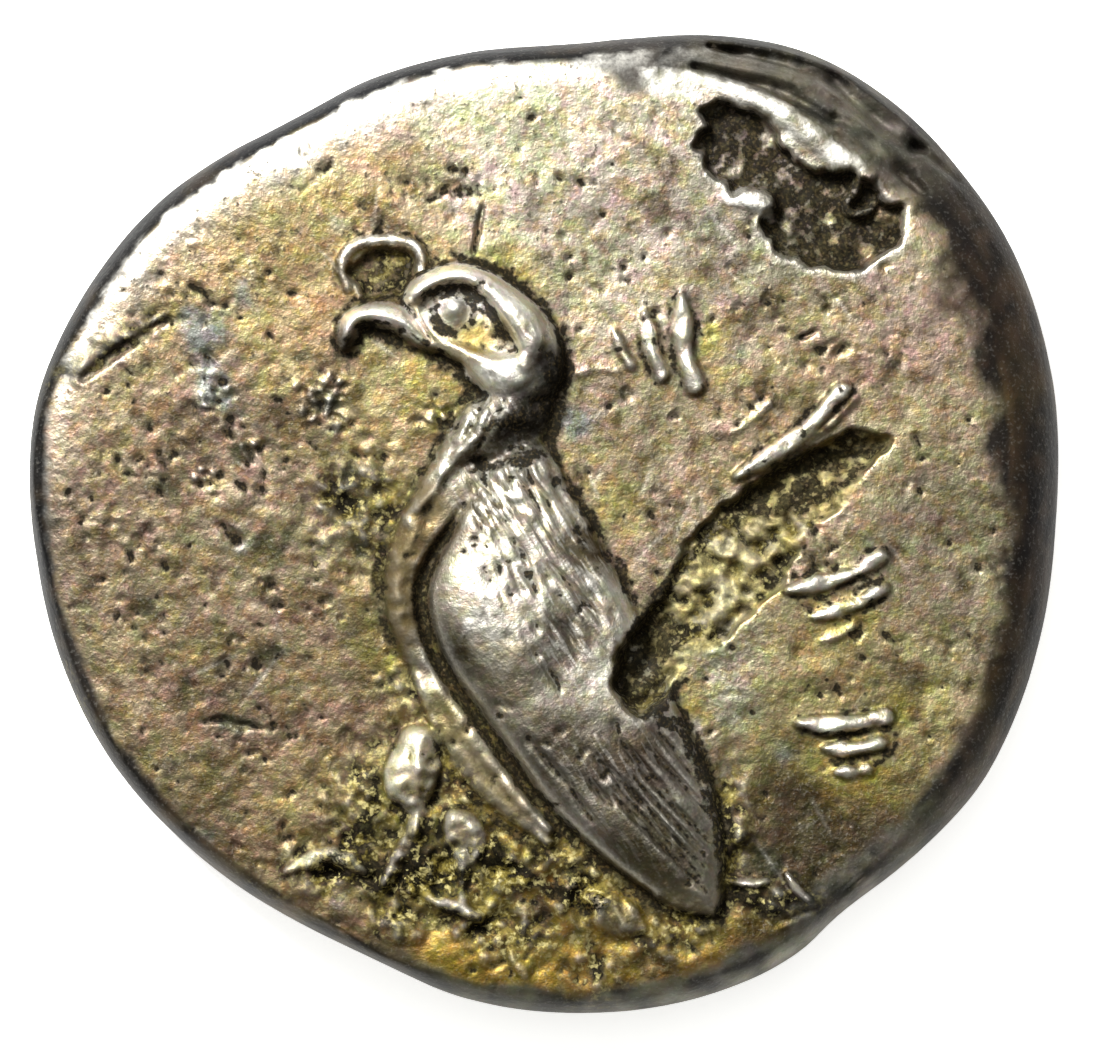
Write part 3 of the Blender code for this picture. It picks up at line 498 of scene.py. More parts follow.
def damageFace(level, field):
    masks = {}
    masks["gouge"] = maskOf(gouge, 0.16)
    dx, dy = sheetX - gouge["middle"][0], sheetY - gouge["middle"][1]
    turn = math.radians(gouge["turn"])
    across = dx * math.sin(turn) - dy * math.cos(turn)
    along = dx * math.cos(turn) + dy * math.sin(turn)
    # deepest under its upper left wall
    deep = 0.2 + 0.36 * spot(1.95, -2.9, 1.0, 0.8, 60) + 0.32 * spot(5.3, 0.95, 1.4, 0.4, 30)
    deep *= 1 - 0.7 * step(across, -0.1, 0.95)
    # crumbs, and the drag of the tool along it
    crumbs = 0.5 * grain(0.45, 31) + 0.45 * grain(0.2, 32) + 0.4 * grain(0.12, 36)
    crumbs = gouge["crumb"] * (crumbs + 0.6 * sample(grain(0.3, 88), 0.4 * along, 1.3 * across))
    floor = field - gouge["depth"] * 2 * deep + crumbs
    level -= masks["gouge"] * np.clip(level - floor, 0, None)
    # dirt fills both of its ends
    ends = 0.8 * spot(6.2, 1.25, 0.9, 0.6, 40) + 0.8 * spot(2.0, -3.0, 0.8)
    masks["gougeDeep"] = masks["gouge"] * np.clip(step(deep, 0.2, 0.36) + ends, 0, 1)
    # raised lips
    add(level, bar([(-3.92, 4.7, 0.1, 0.6), (-4.02, 5.2, 0.14), (-3.75, 5.56, 0.13), (-3.1, 5.66, 0.13),
                    (-2.6, 5.56, 0.13), (-2.42, 5.25, 0.12), (-2.5, 4.98, 0.1, 0.8)], 0.11, 0.8))
    add(level, bar([(3.4, 8.8, 0.2, 0.3), (4.4, 8.4, 0.25), (5.1, 7.95, 0.28), (5.8, 7.4, 0.26),
                    (6.5, 7.0, 0.2, 0.4)], 0.08))
    add(level, bar([(3.6, 6.5, 0.15, 0.2), (4.0, 6.45, 0.2), (4.45, 6.25, 0.18), (4.5, 5.9, 0.12, 0.3)], 0.06))
    masks["crater"] = maskOf(crater, 0.13)
    rubble = grain(0.5, 33) + 0.8 * grain(0.2, 34) + 0.5 * grain(0.1, 37)
    level -= masks["crater"] * (crater["depth"] + crater["crumb"] * rubble)
    # the curl left standing in the crater
    add(level, bar([(6.55, 6.95, 0.1, 0.5), (6.3, 6.85, 0.14), (6.2, 6.6, 0.16), (6.05, 6.4, 0.13), (6.15, 6.2, 0.12),
                    (6.45, 6.22, 0.12), (6.6, 6.4, 0.1, 0.5)], 0.34, 0.7))
    masks["punch"] = maskOf(punch, 0.14)
    level -= masks["punch"] * (punch["depth"] + punch["crumb"] * grain(0.2, 35))
    return masks


# Wear and corrosion of the field

wear = {
    "pitDepth": 0.04,
    "crustHeight": 0.10,
    "gashDepth": 0.10,
    "scratches": 70,
    "scratchDepth": 0.014,
    "ringHeight": 0.035,
    "ringPit": 0.05,
    "poreDepth": 0.035,
    # corroded patches: place, reach, squash, tilt, strength
    "corroded": [
        (-6.3, 0.6, 3.4, 1.3, 60, 0.9), (-3.9, 0.4, 1.1, 1.6, 0, 1.0), (-5.2, -3.8, 2.6, 0.8, 20, 0.7),
        (-6.6, 2.4, 1.2, 1.2, 0, 0.8), (-2.0, -7.0, 3.0, 0.55, -5, 1.3), (3.9, -6.0, 1.0, 1.6, 0, 1.0),
        (2.5, -8.0, 3.0, 0.5, 20, 0.5), (-4.5, 2.6, 1.2, 0.8, 0, 0.7), (5.2, -1.8, 2.2, 1.2, 0, 0.35),
        (5.5, 4.2, 2.5, 1.0, 0, 0.45), (-1.0, 6.5, 2.4, 0.6, 0, 0.35),
    ],
    # crust of dirt: place, reach, squash, tilt, strength
    "crusted": [
        (-3.4, -6.2, 0.9, 0.7, 0, 1.0), (-2.3, -6.9, 1.4, 0.6, -10, 1.0), (-0.3, -7.0, 1.2, 0.5, -20, 1.0),
        (0.6, -7.5, 0.9, 0.6, 0, 0.9), (3.75, -5.9, 0.3, 3.6, 0, 1.0), (-0.9, -6.5, 0.9, 0.5, -40, 0.8),
        (-2.7, -7.9, 0.8, 0.5, 0, 0.8), (1.0, -8.8, 0.6, 1.0, 0, 0.7), (-2.9, -5.6, 1.3, 1.0, 0, 0.8),
        (-4.2, -6.9, 1.1, 0.5, 0, 0.8), (-1.8, -5.2, 1.0, 0.5, -50, 0.7), (2.4, -8.2, 1.0, 0.5, 20, 0.8),
        (-0.6, -8.1, 1.5, 0.4, -5, 0.8), (0.4, -6.9, 1.2, 0.4, -45, 1.0), (-3.7, 0.3, 0.9, 1.4, 0, 0.75),
        (-2.7, -3.4, 0.5, 1.6, 25, 0.6), (-3.6, -5.0, 0.6, 0.9, 0, 0.6), (4.3, -7.5, 0.8, 0.4, 0, 0.7),
        (-9.6, -4.0, 0.4, 4.0, 25, 0.5), (-8.6, 3.6, 1.1, 0.25, 35, 0.6),
    ],
    # roughened relief: place, reach, squash, tilt, strength
    "battered": [
        (-2.6, 0.2, 1.2, 0.5, 65, 0.9), (-2.9, -1.4, 0.5, 2.4, 0, 0.9), (-1.7, -4.3, 1.9, 0.35, -52, 0.5),
        (-2.6, -5.0, 1.1, 0.9, 0, 1.4), (-2.8, -6.6, 0.8, 0.6, 70, 1.0), (-1.5, -6.5, 0.9, 0.9, 0, 1.4),
        (-4.3, -6.8, 0.9, 0.5, 0, 0.9), (-1.8, -7.7, 0.8, 0.4, 0, 1.0), (1.5, -7.9, 0.8, 0.7, 0, 1.0),
        (-2.7, -8.1, 0.6, 0.6, 0, 1.2), (-0.9, 1.9, 0.9, 0.8, 0, 0.8), (-0.9, 3.1, 0.7, 0.6, 0, 0.35),
        (-0.6, 0.5, 1.0, 0.7, 0, 0.6), (-1.2, -1.2, 1.0, 1.0, 0, 0.3), (4.6, -7.2, 1.2, 0.6, 0, 0.8),
        (0.9, 0.2, 1.8, 0.35, -60, 0.8), (2.3, 3.7, 1.2, 1.0, 0, 0.4), (5.6, -1.6, 1.4, 1.0, 0, 0.4),
        (6.1, -4.4, 1.2, 1.0, 0, 0.4), (4.9, 1.9, 1.2, 0.6, 40, 0.4),
    ],
    # relief with pores: place, reach, squash, tilt, strength
    "pored": [
        (-0.8, 3.3, 0.9, 1.0, 0, 1.0), (-0.5, 4.2, 0.7, 0.6, -45, 0.7), (-1.0, 2.0, 0.7, 1.0, 0, 0.8),
        (-0.3, 0.4, 1.2, 0.8, 0, 0.7), (-2.6, -5.0, 1.0, 1.2, 0, 1.0), (-1.5, -6.4, 0.8, 0.8, 0, 1.0),
        (0.3, -1.0, 1.0, 1.2, 0, 0.4),
    ],
    # deep cuts: x, y, half width and, where it fades, the share of the depth
    "gashes": [
        [(-9.2, 2.9, 0.1), (-8.7, 3.3, 0.14), (-8.1, 3.7, 0.12), (-7.5, 4.1, 0.07)],
        [(-6.8, -3.97, 0.04, 0.5), (-6.45, -3.9, 0.09, 0.8), (-6.2, -4.0, 0.06, 0.4), (-5.85, -4.03, 0.08, 0.7),
         (-5.6, -4.1, 0.04, 0.4)],
        [(-1.4, 5.4, 0.05), (-1.3, 5.9, 0.06), (-1.22, 6.3, 0.04)],
        [(5.1, 3.7, 0.05), (5.25, 3.75, 0.06), (5.4, 3.85, 0.04)],
    ],
    # small crusty rings in the left field: place, reach
    "rings": [(-4.55, 2.6, 0.3), (-4.2, 2.85, 0.22), (-4.35, 2.15, 0.3), (-6.6, 2.6, 0.25), (-5.85, 1.55, 0.2),
              (-6.8, 1.0, 0.2), (-2.1, 2.2, 0.2)],
}


def patches(rows):
    total = np.zeros(sheetX.shape)
    for x, y, reach, squash, tilt, strength in rows:
        total = np.maximum(total, strength * spot(x, y, reach, squash, tilt))
    return total


def wearField(level, raised):
    # the struck field waves a little, pits where it corroded and holds dirt in the hollows
    corroded = np.clip(patches(wear["corroded"]), 0, 1)
    pits = step(grain(0.13, 11) + 0.8 * grain(0.5, 12) + 1.6 * corroded, 2.1, 3.6)
    finePits = step(grain(0.1, 13) + 0.6 * grain(0.6, 14) + 0.9 * corroded, 1.7, 2.9)
    relief = 1 - 0.75 * step(raised, 0.15, 0.5)
    waves = 0.02 * grain(2.4, 15) + 0.006 * relief * grain(0.8, 16) + 0.005 * grain(0.3, 17) + 0.002 * grain(0.14, 18)
    level += waves
    level -= relief * wear["pitDepth"] * (pits + 0.45 * finePits)
    level += 0.009 * relief * corroded * grain(0.17, 91)
    crusted = patches(wear["crusted"])
    legs = step(-3.9 - sheetY - 0.9 * np.clip(sheetX + 1.5, 0, None), 0, 0.4)
    crust = np.clip(crusted + 0.25 * grain(0.5, 19) * crusted, 0, 1)
    crust *= 1 - (0.7 - 0.45 * legs) * step(raised, 0.1, 0.4)
    level += wear["crustHeight"] * crust * (0.75 * grain(0.3, 20) + 0.55 * grain(0.14, 21))
    for rows in wear["gashes"]:
        cut(level, bar(rows, wear["gashDepth"], 0.9))
    rng = np.random.default_rng(23)
    for x, y, reach in wear["rings"]:
        # crumbs of corrosion with pits between them
        for _ in range(7):
            dx, dy = rng.normal(0, 0.6 * reach, 2)
            long, short = reach * rng.uniform(0.35, 0.8), reach * rng.uniform(0.2, 0.4)
            add(level, dome(x + dx, y + dy, long, short, rng.uniform(0, 180), wear["ringHeight"], 0.7))
            cut(level, dome(x + dx + 0.12, y + dy - 0.1, short, short, 0, wear["ringPit"], 0.8))
    scratched = np.zeros(sheetX.shape)
    for _ in range(wear["scratches"]):
        x, y = rng.uniform(-8, 7), rng.uniform(-7, 8.5)
        run, turn = rng.uniform(0.3, 1.6), math.radians(rng.choice([-50, 35, 80]) + rng.normal(0, 16))
        add(scratched, bar(fineLine(x, y, run, turn), rng.uniform(0.3, 1.0)))
    scratched = np.clip(scratched, 0, 1)
    level -= wear["scratchDepth"] * relief * scratched
    pitted = np.clip(pits + 0.8 * finePits, 0, 1) * relief
    return {"pits": pitted, "crust": crust, "corroded": corroded, "scratched": scratched}


def battered(raised):
    # relief that corrosion has roughened: the legs, the breast and the lower feathers
    rough = patches(wear["battered"]) * step(raised, 0.02, 0.15)
    allOver = step(raised, 0.1, 0.3)
    pores = allOver * step(grain(0.13, 27) + 0.6 * grain(0.5, 28) + 1.3 * patches(wear["pored"]), 1.9, 3.0)
    roughness = rough * (0.035 * grain(0.34, 24) + 0.03 * grain(0.18, 25)) + allOver * 0.004 * grain(0.16, 26)
    return roughness - wear["poreDepth"] * pores, pores


# The flan's split edge: cracks and a step that run along it at the upper right

splitEdge = {
    "depth": 0.6,
    "angle": 57, "spread": 17,  # degrees, where the flan split and how far round
    "streakDepth": 0.06,
    # each crack: x, y, half width, and the share of the depth
    "lines": [
        ([(3.0, 9.15, 0.08), (4.3, 8.78, 0.16), (5.1, 8.45, 0.2), (5.8, 8.02, 0.12)], 0.5),
        ([(2.0, 9.3, 0.05), (3.4, 9.32, 0.1), (4.8, 9.0, 0.1), (5.6, 8.6, 0.07)], 0.22),
        ([(5.8, 8.15, 0.08), (6.4, 7.75, 0.16), (7.1, 7.05, 0.16), (7.6, 6.6, 0.08)], 0.45),
        ([(5.2, 8.7, 0.05), (6.0, 8.3, 0.1), (6.8, 7.65, 0.1), (7.4, 7.0, 0.06)], 0.25),
        ([(3.3, 9.55, 0.08), (4.6, 9.3, 0.16), (5.7, 8.9, 0.2), (6.5, 8.25, 0.26), (7.2, 7.65, 0.28),
          (7.6, 7.5, 0.1)], 0.9),
        ([(7.4, 7.6, 0.06), (7.9, 7.2, 0.1), (8.3, 6.85, 0.06)], 0.3),
        ([(-8.6, 5.4, 0.05), (-8.0, 6.1, 0.1), (-7.3, 6.8, 0.06)], 0.1),
        ([(4.6, -8.0, 0.05), (5.6, -7.6, 0.1), (6.4, -7.0, 0.05)], 0.12),
    ],
}


def edgeStreaks(seed):
    # noise drawn out along the edge: 0.1 mm across and 1 mm along
    return sample(grain(0.5, seed), 5 * rimInset - 8, (rimAngle - 180) / 18)


def splitRelief():
    level = np.zeros(sheetX.shape)
    for rows, depth in splitEdge["lines"]:
        add(level, bar(rows, depth * splitEdge["depth"]))
    level *= 1 + 0.35 * grain(0.35, 38)
    # streaks that run along the edge, strongest where the flan split
    split = np.exp(-((rimAngle - splitEdge["angle"]) / splitEdge["spread"]) ** 2)
    streaks = splitEdge["streakDepth"] * edgeStreaks(39) * step(0.45 + 0.9 * split - rimInset, -0.1, 0.3)
    return blur(level, 0.03) + streaks * (0.25 + split)


# The underside: flat land round a shallow hollow with a plain crab, all of it above the rest plane

reverse = {"radius": 7.2, "depth": 0.45, "wall": 0.55, "crab": 0.34, "dents": 0.05}


def undersideRelief():
    wall = step(reverse["radius"] - np.hypot(sheetX, sheetY), 0, reverse["wall"])
    crab = np.zeros(sheetX.shape)
    layOver(crab, dome(0, 0, 2.3, 1.7, 0, 1.0, 0.4))
    for side in (-1, 1):
        layOver(crab, bar([(1.5 * side, 1.0, 0.3), (2.9 * side, 1.7, 0.32), (3.1 * side, 2.9, 0.42),
                           (1.9 * side, 3.9, 0.2)], 0.9, 0.5))
        add(crab, dome(0.55 * side, 1.25, 0.16, 0.16, 0, 0.35, 0.6))
        cut(crab, bar([(0.2 * side, 0.6, 0.05), (0.7 * side, -0.1, 0.08), (0.3 * side, -0.9, 0.05)], 0.15))
        for i in range(4):
            out = 4.4 - 0.35 * i
            layOver(crab, bar([(1.7 * side, 0.3 - 0.4 * i, 0.2), (3.0 * side, 0.5 - 0.75 * i, 0.18),
                               (out * side, -0.3 - 1.0 * i, 0.1)], 0.7, 0.5))
    level = reverse["depth"] * wall
    dents = step(grain(1.1, 41) + 0.5 * grain(0.4, 42), 1.4, 2.6) * reverse["dents"]
    level += dents + wall * 0.02 * grain(1.2, 43)
    return np.clip(level - np.minimum(crab * reverse["crab"], 0.9 * level), 0, None)


# Building the skin

def discGrid(rounds):
    # a square grid bent to a disc: each vertex's angle in degrees and share of the way out
    u, v = np.meshgrid(np.linspace(-1, 1, 2 * rounds + 1), np.linspace(-1, 1, 2 * rounds + 1))
    share = np.maximum(np.abs(u), np.abs(v))
    flat = np.abs(u) >= np.abs(v)
    with np.errstate(divide="ignore", invalid="ignore"):
        angle = np.where(flat, 45 * v / u + np.where(u < 0, 180, 0), 90 - 45 * u / v + np.where(v < 0, 180, 0))
    return np.where(share > 0, angle, 0.0), share


def rimOrder(rounds):
    last = 2 * rounds
    steps = np.arange(last)
    rows = np.concatenate([steps, np.full(last, last), last - steps, np.zeros(last, int)])
    columns = np.concatenate([np.full(last, last), last - steps, np.zeros(last, int), steps])
    return rows, columns


def edgeNoise(angle, height):
    # dents and flow lines of the edge, in mm outward; repeats after a full turn
    turn = np.radians(angle)
    rng = np.random.default_rng(51)
    out = np.zeros(angle.shape)
    for k in range(*flan["dentWaves"]):
        a, b, c = rng.normal(0, 1, 3)
        out += (a * np.cos(k * turn) + b * np.sin(k * turn)) * np.cos(c + k * 0.35 * height) / k
    return flan["edgeDents"] * out


def upperPoints(level, split):
    angle, share = discGrid(flan["rounds"])
    waist, shoulder = outlineAt(angle)
    start = 1 - flan["shoulderRounds"] / flan["rounds"]
    turn = np.clip((share - start) / (1 - start), 0, 1) * math.pi / 2
    inner = np.minimum(share / start, 1)[..., None]
    place = np.where(turn[..., None] > 0, shoulder + (waist - shoulder) * np.sin(turn)[..., None], shoulder * inner)
    z = flan["waist"] + (sample(level, place[..., 0], place[..., 1]) - flan["waist"]) * np.cos(turn)
    z -= sample(split, place[..., 0], place[..., 1]) * np.where(share < 1, np.cos(turn) ** 0.5, 0)
    place = place * (1 + edgeNoise(angle, z) * np.sin(turn) ** 2 / 10)[..., None]
    return np.dstack([place, z])


def lowerPoints(level):
    angle, share = discGrid(flan["rounds"])
    waist, _ = outlineAt(angle)
    foot = waist * (1 - flan["footInset"] / np.linalg.norm(waist, axis=-1, keepdims=True))
    place = foot * share[..., None]
    return np.dstack([place, sample(level, place[..., 0], place[..., 1])])


def gridFaces(start, side):
    rows, columns = np.meshgrid(np.arange(side - 1), np.arange(side - 1), indexing="ij")
    first = (start + rows * side + columns).ravel()
    return np.column_stack([first, first + 1, first + side + 1, first + side])


def coinSkin(upper, lower):
    # one closed skin: face, edge and underside
    side = 2 * flan["rounds"] + 1
    rows, columns = rimOrder(flan["rounds"])
    above, below = upper[rows, columns], lower[rows, columns]
    angle = np.degrees(np.arctan2(above[:, 1], above[:, 0]))
    rings = []
    for k in range(1, flan["footRounds"]):
        turn = 0.5 * math.pi * k / flan["footRounds"]
        z = flan["waist"] * (1 - math.sin(turn))
        plane = below[:, :2] + (above[:, :2] - below[:, :2]) * math.cos(turn)
        plane = plane * (1 + edgeNoise(angle, z) * math.cos(turn) / 10)[:, None]
        rings.append(np.column_stack([plane, np.full(len(plane), z)]))
    points = np.vstack([upper.reshape(-1, 3), lower.reshape(-1, 3)] + rings)
    faces = [gridFaces(0, side), gridFaces(side * side, side)[:, ::-1]]
    loops = [rows * side + columns]
    loops += [2 * side * side + k * len(rows) + np.arange(len(rows)) for k in range(len(rings))]
    loops.append(side * side + rows * side + columns)
    for high, low in zip(loops[:-1], loops[1:]):
        faces.append(np.column_stack([high, low, np.roll(low, -1), np.roll(high, -1)]))
    return points, np.vstack(faces)


def fitToFrame(points):
    # the skin takes exactly the box of the CAD coin
    low, high = (np.array(corner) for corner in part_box("coin"))
    own = points.max(0) - points.min(0)
    return (points - points.min(0)) / own * (high - low) + low


def makeMesh(points, faces):
    mesh = bpy.data.meshes.new("coinSkin")
    mesh.vertices.add(len(points))
    mesh.vertices.foreach_set("co", points.astype(np.float32).ravel())
    mesh.loops.add(faces.size)
    mesh.loops.foreach_set("vertex_index", faces.astype(np.int32).ravel())
    mesh.polygons.add(len(faces))
    mesh.polygons.foreach_set("loop_start", np.arange(0, faces.size, 4, dtype=np.int32))
    mesh.update(calc_edges=True)
    mesh.validate()
    return mesh


def thinned(piece):
    # fewer triangles where the metal is plain
    thin = piece.modifiers.new("thin", "DECIMATE")
    thin.ratio = min(1.0, flan["triangles"] / (2 * len(piece.data.polygons)))
    view = bpy.context.evaluated_depsgraph_get()
    mesh = bpy.data.meshes.new_from_object(piece.evaluated_get(view))
    piece.modifiers.clear()
    mesh.shade_smooth()
    return mesh
